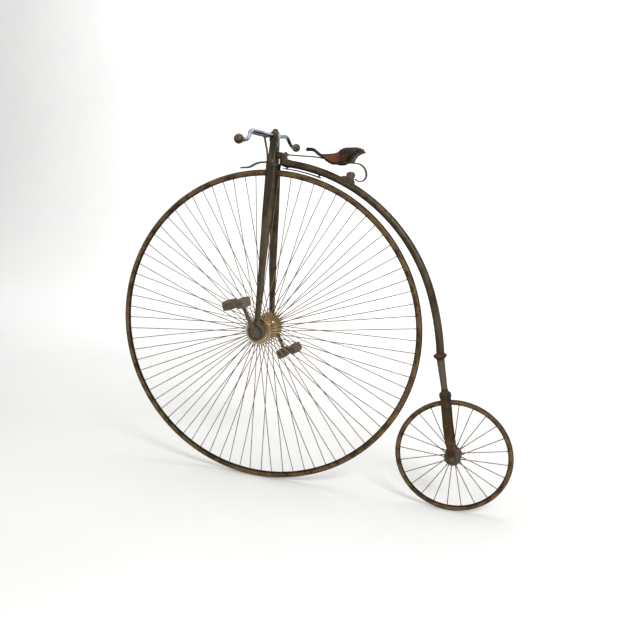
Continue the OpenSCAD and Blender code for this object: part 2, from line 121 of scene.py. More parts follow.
def table(rows, at):
    """Values read from rows of (place, value, ...) at a place between them."""
    rows = sorted(rows)
    if at <= rows[0][0]:
        return rows[0][1:]
    for low, high in zip(rows, rows[1:]):
        if at <= high[0]:
            t = (at - low[0]) / (high[0] - low[0])
            t = t * t * (3 - 2 * t) if len(rows) > 2 else t
            return tuple(a + (b - a) * t for a, b in zip(low[1:], high[1:]))
    return rows[-1][1:]


def loft(rings, looped=False):
    """Points and faces of a skin over rings of equal length, closed at its ends."""
    count = len(rings[0])
    points = [p for ring in rings for p in ring]
    faces = []
    for i in range(len(rings) if looped else len(rings) - 1):
        a, b = i * count, (i + 1) % len(rings) * count
        for k in range(count):
            m = (k + 1) % count
            faces.append((a + k, a + m, b + m, b + k))
    if not looped:
        faces.append(tuple(range(count)))
        faces.append(tuple(range((len(rings) - 1) * count, len(rings) * count)))
    return points, faces


def directions(path, reference):
    """At each point of a path: its tangent, the side and the way nearest to reference."""
    found = []
    for i in range(len(path)):
        tangent = (path[min(i + 1, len(path) - 1)] - path[max(i - 1, 0)]).normalized()
        up = (reference - tangent * reference.dot(tangent)).normalized()
        found.append((tangent, up.cross(tangent), up))
    return found


def sweep(path, outline, reference=Y, scale=None):
    """Sweeps an outline of (side, up) millimetres along a path; scale(t) sizes it."""
    rings = []
    for i, (tangent, side, up) in enumerate(directions(path, reference)):
        sx, sy = scale(i / (len(path) - 1)) if scale else (1, 1)
        rings.append([path[i] + (side * x * sx + up * y * sy) * MM for x, y in outline])
    return loft(rings)


def oval(a, b, sides=32):
    """Outline of an oval with half widths a and b."""
    return [(a * math.cos(k * math.tau / sides), b * math.sin(k * math.tau / sides))
            for k in range(sides)]


def soft_corner(a, b, power, angle):
    """How far a soft-cornered block of half widths a and b reaches at an angle."""
    across, along = abs(math.cos(angle) / a), abs(math.sin(angle) / b)
    return (across ** power + along ** power) ** (-1 / power)


def disc(radius, low, high):
    """Profile of a plain disc or pin between two heights."""
    return [(0, low), (radius, low), (radius, high), (0, high)]


def arc_points(cx, cz, r, start, end, steps):
    """Points of an arc between two angles in degrees."""
    return [(cx + r * math.cos(math.radians(start + (end - start) * k / steps)),
             cz + r * math.sin(math.radians(start + (end - start) * k / steps)))
            for k in range(steps + 1)]


def rounded_bar(width, thick, corner, steps=3):
    """Outline of a flat bar with rounded corners."""
    outline = []
    for sx, sy, start in ((1, 1, 0), (-1, 1, 90), (-1, -1, 180), (1, -1, 270)):
        for k in range(steps + 1):
            angle = math.radians(start + 90 * k / steps)
            outline.append((sx * (width / 2 - corner) + corner * math.cos(angle),
                            sy * (thick / 2 - corner) + corner * math.sin(angle)))
    return outline


def tube(path, scale, reference=Y, sides=32, ends=True):
    """A round or oval bar along a path; scale(t) gives its two half widths, domed ends."""
    rings = []
    frames = directions(path, reference)

    def ring(centre, i, shrink):
        tangent, side, up = frames[i]
        a, b = scale(i / (len(path) - 1))
        return [centre + (side * x + up * y) * shrink * MM for x, y in oval(a, b, sides)]

    dome = (0.25, 0.6, 0.85) if ends else ()
    for shrink in dome:
        depth = min(scale(0)) * 0.45 * math.sqrt(1 - shrink ** 2) * MM
        rings.append(ring(path[0] - frames[0][0] * depth, 0, shrink))
    for i in range(len(path)):
        rings.append(ring(path[i], i, 1))
    for shrink in reversed(dome):
        depth = min(scale(1)) * 0.45 * math.sqrt(1 - shrink ** 2) * MM
        rings.append(ring(path[-1] + frames[-1][0] * depth, len(path) - 1, shrink))
    return loft(rings)


def lathe(profile, centre, axis=Y, sides=64, turn=0):
    """Turns a profile of (radius, height) round an axis through centre."""
    axis = axis.normalized()
    side = axis.orthogonal().normalized() if abs(axis.dot(Y)) < 0.99 else Vector((1, 0, 0))
    other = axis.cross(side)
    rings = []
    for radius, height in profile:
        ring = []
        for k in range(sides):
            angle = turn + k * math.tau / sides
            out = side * math.cos(angle) + other * math.sin(angle)
            ring.append(centre + (out * max(radius, 0.01) + axis * height) * MM)
        rings.append(ring)
    return loft(rings)


def turned_ring(profile, centre, sides=160):
    """A ring about Y from a closed profile of (radius, y)."""
    rings = []
    for k in range(sides):
        angle = k * math.tau / sides
        out = Vector((math.cos(angle), 0, math.sin(angle)))
        rings.append([centre + (out * r + Y * y) * MM for r, y in profile])
    return loft(rings, looped=True)


def box_part(low, high):
    """A block between two corners given in millimetres from the road point."""
    (x0, y0, z0), (x1, y1, z1) = low, high
    ring = lambda y: [road(x0, y, z0), road(x1, y, z0), road(x1, y, z1), road(x0, y, z1)]
    return loft([ring(y0), ring(y1)])


def plate(outline, y0, y1):
    """A plate across the bicycle from an outline of (x, z)."""
    return loft([[road(x, y, z) for x, z in outline] for y in (y0, y1)])


def nut(centre, axis, across, thick, turn=0.0):
    """A chamfered hexagon nut with a domed bolt end."""
    r = across / 2 / math.cos(math.pi / 6)
    body = lathe([(0, 0), (r, 0), (r, thick * 0.8), (r * 0.86, thick), (0, thick)],
                 centre, axis, 6, turn)
    end = lathe([(0, thick - 1), (r * 0.5, thick - 1), (r * 0.5, thick + 1.2),
                 (r * 0.3, thick + 2), (0, thick + 2.2)], centre, axis, 20)
    return [body, end]


def make_mesh(name, parts):
    """One mesh from parts, doubles merged and faces pointing outwards."""
    work = bmesh.new()
    for points, faces in parts:
        verts = [work.verts.new(p) for p in points]
        for face in faces:
            work.faces.new([verts[i] for i in face])
    bmesh.ops.remove_doubles(work, verts=work.verts, dist=0.00002)
    bmesh.ops.dissolve_degenerate(work, edges=work.edges, dist=0.00001)
    bmesh.ops.recalc_face_normals(work, faces=work.faces)
    mesh = bpy.data.meshes.new(name)
    work.to_mesh(mesh)
    work.free()
    return mesh


def settle(obj):
    """Turns an object and its modifiers into one plain mesh."""
    bpy.context.view_layer.update()
    source = obj.evaluated_get(bpy.context.evaluated_depsgraph_get())
    mesh = bpy.data.meshes.new_from_object(source)
    obj.modifiers.clear()
    obj.data = mesh
    return obj


def piece(name, body, parts, finish, replaces=(), bevel=0.0, forged=0.0, relax=4,
          sharp=40.0):
    """One finished piece. bevel rounds its edges; forged melts its parts into one solid."""
    obj = bpy.data.objects.new(name, make_mesh(name, parts))
    bpy.context.scene.collection.objects.link(obj)
    if forged:
        melt = obj.modifiers.new("melt", "REMESH")
        melt.mode = "VOXEL"
        melt.voxel_size = forged
        ease = obj.modifiers.new("ease", "SMOOTH")
        ease.factor = 0.5
        ease.iterations = relax
    if bevel:
        edge = obj.modifiers.new("edge", "BEVEL")
        edge.width = bevel * MM
        edge.segments = 2
        edge.limit_method = "ANGLE"
        edge.angle_limit = math.radians(32)
    if forged or bevel:
        settle(obj)
    return dress(obj, body, finish, replaces, 180 if forged else sharp)


def dress(obj, body, finish, replaces=(), sharp=40.0):
    """Shades a finished object, gives it its material and sets it on its body."""
    obj.data.shade_smooth()
    obj.data.set_sharp_from_angle(angle=math.radians(sharp))
    obj.data.materials.clear()
    obj.data.materials.append(finish_of(finish))
    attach(obj, body)
    if replaces:
        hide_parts(*replaces)
    return obj


# ---------------------------------------------------------------- nodes

def add(tree, kind, inputs=None, **settings):
    """Adds a node with its settings, and values or links for its inputs."""
    made = tree.nodes.new(kind)
    for name, value in settings.items():
        setattr(made, name, value)
    for name, value in (inputs or {}).items():
        if isinstance(value, bpy.types.NodeSocket):
            tree.links.new(value, made.inputs[name])
        else:
            made.inputs[name].default_value = value
    return made


def new_finish(name):
    """An empty node material: its tree and its Object coordinates."""
    material = bpy.data.materials.new(name)
    material.use_nodes = True
    tree = material.node_tree
    tree.nodes.clear()
    coords = add(tree, "ShaderNodeTexCoord").outputs["Object"]
    return material, tree, coords


def over(tree, coat, colour, value, low, high):
    """Lays a colour over a coat as a value goes from low to high.

    Returns the coat and how much of the colour shows, from 0 to 1.
    """
    place = add(tree, "ShaderNodeMapRange", {"Value": value, "From Min": low, "From Max": high},
                interpolation_type="SMOOTHSTEP").outputs["Result"]
    mixed = add(tree, "ShaderNodeMix", {0: place, 6: coat, 7: rgba(colour)}, data_type="RGBA")
    return mixed.outputs[2], place


def patches(tree, coords, coat, colour, across, low, high, detail=6.0, rough=0.62,
            stretch=(1, 1, 1)):
    """Lays a colour over a coat in ragged patches so many millimetres across."""
    moved = add(tree, "ShaderNodeMapping", {"Vector": coords, "Scale": stretch}).outputs[0]
    field = add(tree, "ShaderNodeTexNoise", {"Vector": moved, "Scale": 1000 / across,
                                             "Detail": detail, "Roughness": rough}).outputs[0]
    return over(tree, coat, colour, field, low, high)


def layers(tree, coords, coat, *rows):
    """Lays rows of patches over a coat; returns it and where each row's patches lie."""
    places = []
    for row in rows:
        coat, place = patches(tree, coords, coat, *row)
        places.append(place)
    return coat, places


def rubbed(tree, coat, bare, low, high):
    """Shows bare metal where edges stand out."""
    edge = add(tree, "ShaderNodeNewGeometry").outputs["Pointiness"]
    return over(tree, coat, bare, edge, low, high)[0]


def faded(tree, coat, colour, vector, axis, low, high):
    """Goes over to another colour along one axis of a position or a normal."""
    value = add(tree, "ShaderNodeSeparateXYZ", {0: vector}).outputs[axis]
    return over(tree, coat, colour, value, low, high)[0]


def painted_underside_shade(tree, coat, colour, low, high):
    """Darkens the faces that look down: painted shade on the undersides."""
    normal = add(tree, "ShaderNodeNewGeometry").outputs["Normal"]
    return faded(tree, coat, colour, normal, "Z", low, high)


def painted_ring_edge_shade(tree, coat, colour, low, high):
    """Painted shade: darkens a ring along its inner and outer edges, where its round section turns
    from the light, read from its own attribute.
    """
    edge = add(tree, "ShaderNodeAttribute", attribute_name="edge").outputs["Fac"]
    return over(tree, coat, colour, edge, low, high)[0]


def close_finish(material, tree, coords, inputs, gloss, grit, depth):
    """Ends a finish in its shader.

    gloss is (where, roughness outside, roughness inside); grit is the size in millimetres of
    the fine pits that depth, in millimetres, raises.
    """
    where, outside, inside = gloss
    rough = add(tree, "ShaderNodeMapRange", {"Value": where, "To Min": outside,
                                             "To Max": inside}).outputs[0]
    pits = add(tree, "ShaderNodeTexNoise", {"Vector": coords, "Scale": 1000 / grit,
                                            "Detail": 4.0, "Roughness": 0.65}).outputs[0]
    bump = add(tree, "ShaderNodeBump", {"Height": pits, "Strength": 0.5,
                                        "Distance": depth * MM}).outputs[0]
    shader = add(tree, "ShaderNodeBsdfPrincipled", {"Roughness": rough, "Normal": bump, **inputs})
    add(tree, "ShaderNodeOutputMaterial", {"Surface": shader.outputs[0]})
    return material


def colours():
    return bpy.context.scene.bicycle_colours


def sizes():
    return bpy.context.scene.bicycle_sizes


def olive_enamel():
    """Old olive enamel on drawn steel tube: dull and chalky, freckled with rust, rubbed pale."""
    material, tree, coords = new_finish("olive_enamel")
    c = colours()
    coat, places = layers(tree, coords, rgba(c.enamel),
                          (c.enamel_chalk, 60, 0.4, 0.62, 5, 0.6, (1, 1, 0.5)),
                          (c.iron_brown, 24, 0.54, 0.68, 8), (c.rust, 6, 0.65, 0.72),
                          (c.iron, 1.6, 0.62, 0.74, 3))
    coat = rubbed(tree, coat, c.enamel_rubbed, 0.54, 0.66)
    # Painted shade: the enamel goes over to black iron on faces that look down.
    coat = painted_underside_shade(tree, coat, c.iron, 0.1, -0.8)
    return close_finish(material, tree, coords,
                        {"Base Color": coat, "Metallic": 0.4, "Specular IOR Level": 0.2},
                        (places[0], 0.32, 0.5), 1.4, 0.2)


def dark_iron():
    """Forged steel gone dark with oil and age: nearly black, brown in patches, pitted."""
    material, tree, coords = new_finish("dark_iron")
    c = colours()
    coat, places = layers(tree, coords, rgba(c.iron), (c.iron_brown, 30, 0.36, 0.62),
                          (c.rust_dark, 7, 0.6, 0.72))
    return close_finish(material, tree, coords,
                        {"Base Color": coat, "Metallic": 0.1, "Specular IOR Level": 0.12},
                        (places[0], 0.62, 0.8), 1.4, 0.4)


def brown_rust():
    """Mild steel with an even skin of old rust, in clouds from dark brown to orange-brown."""
    material, tree, coords = new_finish("brown_rust")
    c = colours()
    coat, places = layers(tree, coords, rgba(c.rust_dark), (c.rust, 34, 0.4, 0.75, 7),
                          (c.dust, 11, 0.62, 0.8), (c.iron, 1.8, 0.6, 0.72, 3))
    coat = rubbed(tree, coat, c.steel_rubbed, 0.58, 0.74)
    # Painted shade: the rust goes over to black iron on faces that look down.
    coat = painted_underside_shade(tree, coat, c.iron, 0.0, -0.9)
    return close_finish(material, tree, coords,
                        {"Base Color": coat, "Metallic": 0.3, "Specular IOR Level": 0.12},
                        (places[0], 0.4, 0.6), 1.2, 0.2)


def rusty_rim():
    """Rolled rim steel, rusted brown and oily, darkened along its inner and outer edges by painted
    shade.
    """
    material, tree, coords = new_finish("rusty_rim")
    c = colours()
    coat, places = layers(tree, coords, rgba(c.rim), (c.rust_dark, 40, 0.42, 0.62, 7),
                          (c.rust, 9, 0.56, 0.7))
    # Painted shade: black iron along the rim's inner and outer edges.
    coat = painted_ring_edge_shade(tree, coat, c.iron, 0.45, 0.8)
    return close_finish(material, tree, coords,
                        {"Base Color": coat, "Metallic": 0.3, "Specular IOR Level": 0.2},
                        (places[0], 0.45, 0.65), 1.2, 0.4)


def spoke_wire():
    """Drawn spoke wire, its plating gone: tan rust that changes along each wire."""
    material, tree, coords = new_finish("spoke_wire")
    c = colours()
    coat, places = layers(tree, coords, rgba(c.spoke), (c.spoke_dark, 40, 0.42, 0.6, 4),
                          (c.steel_rubbed, 17, 0.55, 0.68, 4))
    return close_finish(material, tree, coords, {"Base Color": coat, "Metallic": 0.35},
                        (places[0], 0.42, 0.62), 1.0, 0.3)


def worn_nickel():
    """Nickel plate dulled by handling: cool and bright, clouded, with brown pits, and darkened by
    painted shade on its far half and its undersides.
    """
    material, tree, coords = new_finish("worn_nickel")
    c = colours()
    coat, places = layers(tree, coords, rgba(c.nickel), (c.nickel_dull, 28, 0.38, 0.62),
                          (c.rust_dark, 3, 0.64, 0.7))
    # Painted shade: the plate goes over to brown iron on its far half, from 30 to 90 mm right of
    # the middle.
    coat = faded(tree, coat, c.iron_brown, coords, "Y", -0.03, -0.09)
    # Painted shade: the plate goes over to black iron on faces that look down.
    coat = painted_underside_shade(tree, coat, c.iron, 0.3, -0.35)
    return close_finish(material, tree, coords, {"Base Color": coat, "Metallic": 0.85},
                        (places[0], 0.24, 0.38), 3.5, 0.05)


def gunmetal():
    """Cast gunmetal, turned and then tarnished: golden brown, dark oil round the bosses."""
    material, tree, coords = new_finish("gunmetal")
    c = colours()
    coat, places = layers(tree, coords, rgba(c.gunmetal), (c.gunmetal_dark, 22, 0.4, 0.64),
                          (c.iron_brown, 40, 0.56, 0.68, 3))
    return close_finish(material, tree, coords, {"Base Color": coat, "Metallic": 0.7},
                        (places[0], 0.42, 0.58), 1.6, 0.4)


def tyre_rubber():
    """Solid tyre rubber more than a century old: matt, cracked across, dusty in the pores, darkened
    along its inner and outer edges by painted shade.
    """
    material, tree, coords = new_finish("tyre_rubber")
    c = colours()
    coat, places = layers(tree, coords, rgba(c.tyre), (c.tyre_dust, 45, 0.36, 0.62),
                          (c.iron_brown, 13, 0.54, 0.68, 7), (c.dust, 2.2, 0.6, 0.7, 4))
    # Painted shade: black iron along the tyre's inner and outer edges.
    coat = painted_ring_edge_shade(tree, coat, c.iron, 0.5, 0.95)
    return close_finish(material, tree, coords, {"Base Color": coat, "Specular IOR Level": 0.2},
                        (places[0], 0.66, 0.85), 1.5, 0.5)


def pedal_rubber():
    """Hard old pedal rubber, darker than the tyre and polished where feet rub it."""
    material, tree, coords = new_finish("pedal_rubber")
    c = colours()
    coat, places = layers(tree, coords, rgba(c.pedal), (c.pedal_worn, 26, 0.38, 0.62),
                          (c.dust, 3, 0.6, 0.72))
    return close_finish(material, tree, coords, {"Base Color": coat, "Specular IOR Level": 0.15},
                        (places[0], 0.65, 0.85), 1.5, 0.5)


def turned_wood():
    """Grips turned from dark wood, the varnish rubbed through by hands."""
    material, tree, coords = new_finish("turned_wood")
    c = colours()
    coat, places = layers(tree, coords, rgba(c.grip_dark),
                          (c.grip, 7, 0.38, 0.6, 6, 0.6, (1, 0.16, 1)),
                          (c.grip_worn, 22, 0.48, 0.62, 5), (c.iron_brown, 5, 0.6, 0.7))
    # Painted shade: the wood goes over to black iron on faces that look down.
    coat = painted_underside_shade(tree, coat, c.iron, 0.35, -0.75)
    return close_finish(material, tree, coords, {"Base Color": coat, "Specular IOR Level": 0.3},
                        (places[1], 0.35, 0.5), 2, 0.4)


def saddle_hide():
    """Thick oak-tanned hide: blackened and polished on the seat, red-brown down its flanks, the
    rear flank kept dark as painted shade.
    """
    material, tree, coords = new_finish("saddle_hide")
    c = colours()
    # The flank attribute holds the red of the front flank and the painted shade that keeps the rear
    # flank dark.
    worn = add(tree, "ShaderNodeAttribute", attribute_name="flank").outputs["Fac"]
    ragged = add(tree, "ShaderNodeTexNoise", {"Vector": coords, "Scale": 1000 / 30, "Detail": 6.0,
                                              "Roughness": 0.62}).outputs[0]
    lower = add(tree, "ShaderNodeMath", {0: ragged, 1: 0.7, 2: worn}, operation="MULTIPLY_ADD")
    place = add(tree, "ShaderNodeMapRange", {"Value": lower.outputs[0], "From Min": 0.7,
                                             "From Max": 1.05}).outputs["Result"]
    coat = add(tree, "ShaderNodeMix", {0: place, 6: rgba(c.hide_black), 7: rgba(c.hide)},
               data_type="RGBA").outputs[2]
    coat, places = layers(tree, coords, coat, (c.hide_scuffed, 16, 0.54, 0.68, 7),
                          (c.hide_black, 34, 0.55, 0.66, 7), (c.iron, 2.2, 0.6, 0.7, 4))
    return close_finish(material, tree, coords, {"Base Color": coat, "Specular IOR Level": 0.15},
                        (places[0], 0.6, 0.8), 2.2, 0.5)


FINISHES = {build.__name__: build for build in (
    olive_enamel, dark_iron, brown_rust, rusty_rim, spoke_wire, worn_nickel, gunmetal, tyre_rubber,
    pedal_rubber, turned_wood, saddle_hide)}


def finish_of(name):
    """The material of a finish, built when it is first asked for."""
    return bpy.data.materials.get(name) or FINISHES[name]()


# ---------------------------------------------------------------- geometry nodes

def node_tree(name, inputs):
    """A geometry tree with named inputs: {name: (socket kind, default)}."""
    tree = bpy.data.node_groups.new(name, "GeometryNodeTree")
    tree.interface.new_socket("Geometry", in_out="INPUT", socket_type="NodeSocketGeometry")
    tree.interface.new_socket("Geometry", in_out="OUTPUT", socket_type="NodeSocketGeometry")
    for label, (kind, default) in inputs.items():
        socket = tree.interface.new_socket(label, in_out="INPUT", socket_type="NodeSocket" + kind)
        if kind != "Material":
            socket.default_value = default
    return tree, tree.nodes.new("NodeGroupInput"), tree.nodes.new("NodeGroupOutput")


def close_tree(tree, geometry, finish, result):
    """Ends a geometry tree by giving its geometry a finish."""
    finished = add(tree, "GeometryNodeSetMaterial", {"Geometry": geometry, "Material": finish})
    tree.links.new(finished.outputs[0], result.inputs[0])
    return tree


def grow(name, kind, values, mesh=None):
    """Runs a geometry tree on a new object and returns it as a plain mesh."""
    tree = bpy.data.node_groups.get(kind) or TREES[kind]()
    obj = bpy.data.objects.new(name, mesh or bpy.data.meshes.new(name))
    bpy.context.scene.collection.objects.link(obj)
    modifier = obj.modifiers.new(name, "NODES")
    modifier.node_group = tree
    ids = {item.name: item.identifier for item in tree.interface.items_tree
           if item.in_out == "INPUT"}
    for label, value in values.items():
        modifier[ids[label]] = value
    return settle(obj)


def spoke_tree():
    """Straight spokes between two circles, alternately from the left and right flange."""
    tree, given, result = node_tree("spokes", {
        "Count": ("Int", 80), "Phase": ("Float", 0.0), "Inner radius": ("Float", 0.05),
        "Inner offset": ("Float", 0.07), "Outer radius": ("Float", 0.63),
        "Outer offset": ("Float", 0.003), "Wire": ("Float", 0.0015), "Root": ("Float", 0.0024),
        "Bend": ("Float", 0.001), "Centre": ("Vector", (0, 0, 0)), "Finish": ("Material", None)})
    take = given.outputs

    def maths(operation, a, b=0.0):
        return add(tree, "ShaderNodeMath", {0: a, 1: b}, operation=operation).outputs[0]

    index = add(tree, "GeometryNodeInputIndex").outputs[0]
    step = maths("DIVIDE", math.tau, take["Count"])
    angle = maths("ADD", maths("MULTIPLY", index, step), take["Phase"])
    side = maths("SUBTRACT", 1.0, maths("MULTIPLY", maths("MODULO", index, 2.0), 2.0))

    def on_circle(radius, offset):
        return add(tree, "ShaderNodeCombineXYZ", {
            0: maths("MULTIPLY", take[radius], maths("COSINE", angle)),
            1: maths("MULTIPLY", take[offset], side),
            2: maths("MULTIPLY", take[radius], maths("SINE", angle))}).outputs[0]

    start = on_circle("Inner radius", "Inner offset")
    end = on_circle("Outer radius", "Outer offset")
    way = add(tree, "ShaderNodeVectorMath", {0: end, 1: start}, operation="SUBTRACT").outputs[0]
    length = add(tree, "ShaderNodeVectorMath", {0: way}, operation="LENGTH").outputs["Value"]
    points = add(tree, "GeometryNodePoints", {"Count": take["Count"], "Position": start})
    # The wire is one metre long here and is stretched to its length
    rows = add(tree, "GeometryNodeCurvePrimitiveLine", {"End": (0, 0, 1)}).outputs[0]
    rows = add(tree, "GeometryNodeResampleCurve", {"Curve": rows, "Count": 9}).outputs[0]
    circle = add(tree, "GeometryNodeCurvePrimitiveCircle", {"Resolution": 8,
                                                            "Radius": take["Wire"]})
    wire = add(tree, "GeometryNodeCurveToMesh", {"Curve": rows, "Profile Curve": circle.outputs[0],
                                                 "Fill Caps": True}).outputs[0]
    root = add(tree, "GeometryNodeMeshCylinder", {"Vertices": 8, "Radius": take["Root"],
                                                  "Depth": 0.02}).outputs[0]
    root = add(tree, "GeometryNodeTransform", {"Geometry": root,
                                               "Translation": (0, 0, 0.01)}).outputs[0]
    nipple = add(tree, "GeometryNodeMeshCone", {"Vertices": 8, "Radius Top": take["Wire"],
                                                "Radius Bottom": take["Root"],
                                                "Depth": 0.008}).outputs[0]
    turn = add(tree, "FunctionNodeAlignRotationToVector", {"Vector": way}, axis="Z").outputs[0]
    stretch = add(tree, "ShaderNodeCombineXYZ", {0: 1.0, 1: 1.0, 2: length}).outputs[0]
    wires = add(tree, "GeometryNodeInstanceOnPoints", {"Points": points.outputs[0],
                "Instance": wire, "Rotation": turn, "Scale": stretch}).outputs[0]
    roots = add(tree, "GeometryNodeInstanceOnPoints", {"Points": points.outputs[0],
                "Instance": root, "Rotation": turn}).outputs[0]
    back = add(tree, "FunctionNodeAlignRotationToVector", {"Vector": add(
        tree, "ShaderNodeVectorMath", {0: way, "Scale": -1.0}, operation="SCALE").outputs[0]},
        axis="Z").outputs[0]
    at_rim = add(tree, "GeometryNodeSetPosition", {"Geometry": points.outputs[0],
                                                   "Position": end}).outputs[0]
    nipples = add(tree, "GeometryNodeInstanceOnPoints", {"Points": at_rim, "Instance": nipple,
                                                         "Rotation": back}).outputs[0]
    joined = tree.nodes.new("GeometryNodeJoinGeometry")
    for branch in (wires, roots, nipples):
        tree.links.new(branch, joined.inputs[0])
    real = add(tree, "GeometryNodeRealizeInstances", {"Geometry": joined.outputs[0]}).outputs[0]
    wobble = add(tree, "ShaderNodeTexNoise", {"Scale": 7.0, "Detail": 0.0}).outputs[1]
    wobble = add(tree, "ShaderNodeVectorMath", {0: wobble, 1: (0.5, 0.5, 0.5)},
                 operation="SUBTRACT").outputs[0]
    wobble = add(tree, "ShaderNodeVectorMath", {0: wobble, "Scale": take["Bend"]},
                 operation="SCALE").outputs[0]
    bent = add(tree, "GeometryNodeSetPosition", {"Geometry": real, "Offset": wobble}).outputs[0]
    placed = add(tree, "GeometryNodeTransform", {"Geometry": bent,
                                                 "Translation": take["Centre"]}).outputs[0]
    return close_tree(tree, placed, take["Finish"], result)


def rivet_tree():
    """Domed rivets at the points of a mesh, standing along its normals."""
    tree, given, result = node_tree("rivets", {"Head": ("Float", 0.004), "Rise": ("Float", 0.4),
                                           "Finish": ("Material", None)})
    take = given.outputs
    head = add(tree, "GeometryNodeMeshUVSphere", {"Segments": 14, "Rings": 8,
                                                  "Radius": take["Head"]}).outputs[0]
    head = add(tree, "GeometryNodeTransform", {"Geometry": head, "Scale": add(
        tree, "ShaderNodeCombineXYZ", {0: 1.0, 1: 1.0, 2: take["Rise"]}).outputs[0]}).outputs[0]
    normal = add(tree, "GeometryNodeInputNamedAttribute", {"Name": "way"},
                 data_type="FLOAT_VECTOR").outputs[0]
    turn = add(tree, "FunctionNodeAlignRotationToVector", {"Vector": normal}, axis="Z").outputs[0]
    heads = add(tree, "GeometryNodeInstanceOnPoints", {"Points": take["Geometry"],
                "Instance": head, "Rotation": turn}).outputs[0]
    real = add(tree, "GeometryNodeRealizeInstances", {"Geometry": heads}).outputs[0]
    return close_tree(tree, real, take["Finish"], result)


def rivets(name, body, places, head, rise, finish):
    """One piece of rivets at places, each a point and the way it faces."""
    mesh = bpy.data.meshes.new(name)
    mesh.from_pydata([p for p, way in places], [], [])
    way = mesh.attributes.new("way", "FLOAT_VECTOR", "POINT")
    for i, (p, direction) in enumerate(places):
        way.data[i].vector = direction.normalized()
    obj = grow(name, "rivets", {"Head": head * MM, "Rise": rise,
                                    "Finish": finish_of(finish)}, mesh)
    return dress(obj, body, finish)


def rib_tree():
    """A row of small rounded bars at even steps."""
    tree, given, result = node_tree("ribs", {
        "Count": ("Int", 9), "Start": ("Vector", (0, 0, 0)), "Step": ("Vector", (0, 0.008, 0)),
        "Size": ("Vector", (0.026, 0.003, 0.003)), "Turn": ("Vector", (0, 0, 0)),
        "Centre": ("Vector", (0, 0, 0)), "Finish": ("Material", None)})
    take = given.outputs
    row = add(tree, "GeometryNodeMeshLine", {"Count": take["Count"],
                                             "Start Location": take["Start"],
                                             "Offset": take["Step"]}).outputs[0]
    bar = add(tree, "GeometryNodeMeshCube", {"Size": take["Size"], "Vertices X": 5,
                                             "Vertices Y": 3, "Vertices Z": 3}).outputs[0]
    bar = add(tree, "GeometryNodeSubdivisionSurface", {"Mesh": bar, "Level": 1}).outputs[0]
    bars = add(tree, "GeometryNodeInstanceOnPoints", {"Points": row, "Instance": bar}).outputs[0]
    turned = add(tree, "GeometryNodeTransform", {"Geometry": bars, "Rotation": take["Turn"],
                                                 "Translation": take["Centre"]}).outputs[0]
    real = add(tree, "GeometryNodeRealizeInstances", {"Geometry": turned}).outputs[0]
    return close_tree(tree, real, take["Finish"], result)


TREES = {"spokes": spoke_tree, "rivets": rivet_tree, "ribs": rib_tree}


# ---------------------------------------------------------------- settings

def colour_setting(name, description, hex_colour):
    return bpy.props.FloatVectorProperty(name=name, description=description, subtype="COLOR",
                                         size=3, min=0, max=1, default=linear(hex_colour))


def length_setting(name, description, millimetres):
    return bpy.props.FloatProperty(name=name, description=description, unit="LENGTH",
                                   default=millimetres * MM, min=0.0001, max=0.06, precision=5)


class BicycleColours(bpy.types.PropertyGroup):
    """Colours of the bicycle's finishes."""
    enamel: colour_setting("Enamel", "Olive enamel on the frame", "#3d3528")
    enamel_chalk: colour_setting("Chalked enamel", "Enamel where it has weathered pale", "#554b3a")
    enamel_rubbed: colour_setting("Rubbed enamel", "Enamel worn through on edges", "#8a8068")
    # Iron is also the colour laid as painted shade on faces that look down and along the wheels'
    # ring edges.
    iron: colour_setting("Iron", "Oily black forged steel", "#100d0a")
    # Brown iron is also the colour of the painted shade on the nickel plate's far half.
    iron_brown: colour_setting("Brown iron", "Forged steel browned by age", "#2a2017")
    steel_rubbed: colour_setting("Rubbed steel", "Bare steel on worn edges", "#6a5f54")
    rust: colour_setting("Rust", "Old dry rust", "#5c452e")
    rust_dark: colour_setting("Dark rust", "Old rust in damp places", "#392b1d")
    dust: colour_setting("Dust", "Road dust on metal", "#7a6749")
    spoke: colour_setting("Spoke", "Rusted spoke wire", "#80644a")
    spoke_dark: colour_setting("Dark spoke", "Darker rust on spoke wire", "#5c4636")
    nickel: colour_setting("Nickel", "Nickel plate", "#b4bccb")
    nickel_dull: colour_setting("Dull nickel", "Clouded nickel plate", "#7d8496")
    gunmetal: colour_setting("Gunmetal", "Turned gunmetal of the hubs", "#8c5f2a")
    gunmetal_dark: colour_setting("Dark gunmetal", "Tarnished gunmetal", "#4a3218")
    tyre: colour_setting("Tyre", "Old tyre rubber", "#4b3d27")
    tyre_dust: colour_setting("Dusty tyre", "Tyre rubber under dust", "#78623a")
    pedal: colour_setting("Pedal rubber", "Hard old pedal rubber", "#1e1611")
    pedal_worn: colour_setting("Worn pedal", "Pedal rubber where feet rub", "#463730")
    rim: colour_setting("Rim", "Rim steel under brown grease and rust", "#6b5434")
    grip: colour_setting("Grip", "Turned grip", "#6e5340")
    grip_dark: colour_setting("Dark grip", "Grain of the turned grip", "#33251c")
    grip_worn: colour_setting("Worn grip", "Grip rubbed by the hand", "#7a5c46")
    hide: colour_setting("Hide", "Red-brown flank of the saddle", "#6c3d27")
    hide_black: colour_setting("Black hide", "Blackened seat of the saddle", "#1f1a17")
    hide_scuffed: colour_setting("Scuffed hide", "Scuffs on the saddle", "#4d362c")
    floor: colour_setting("Floor", "Pale studio floor", "#f8f8f7")


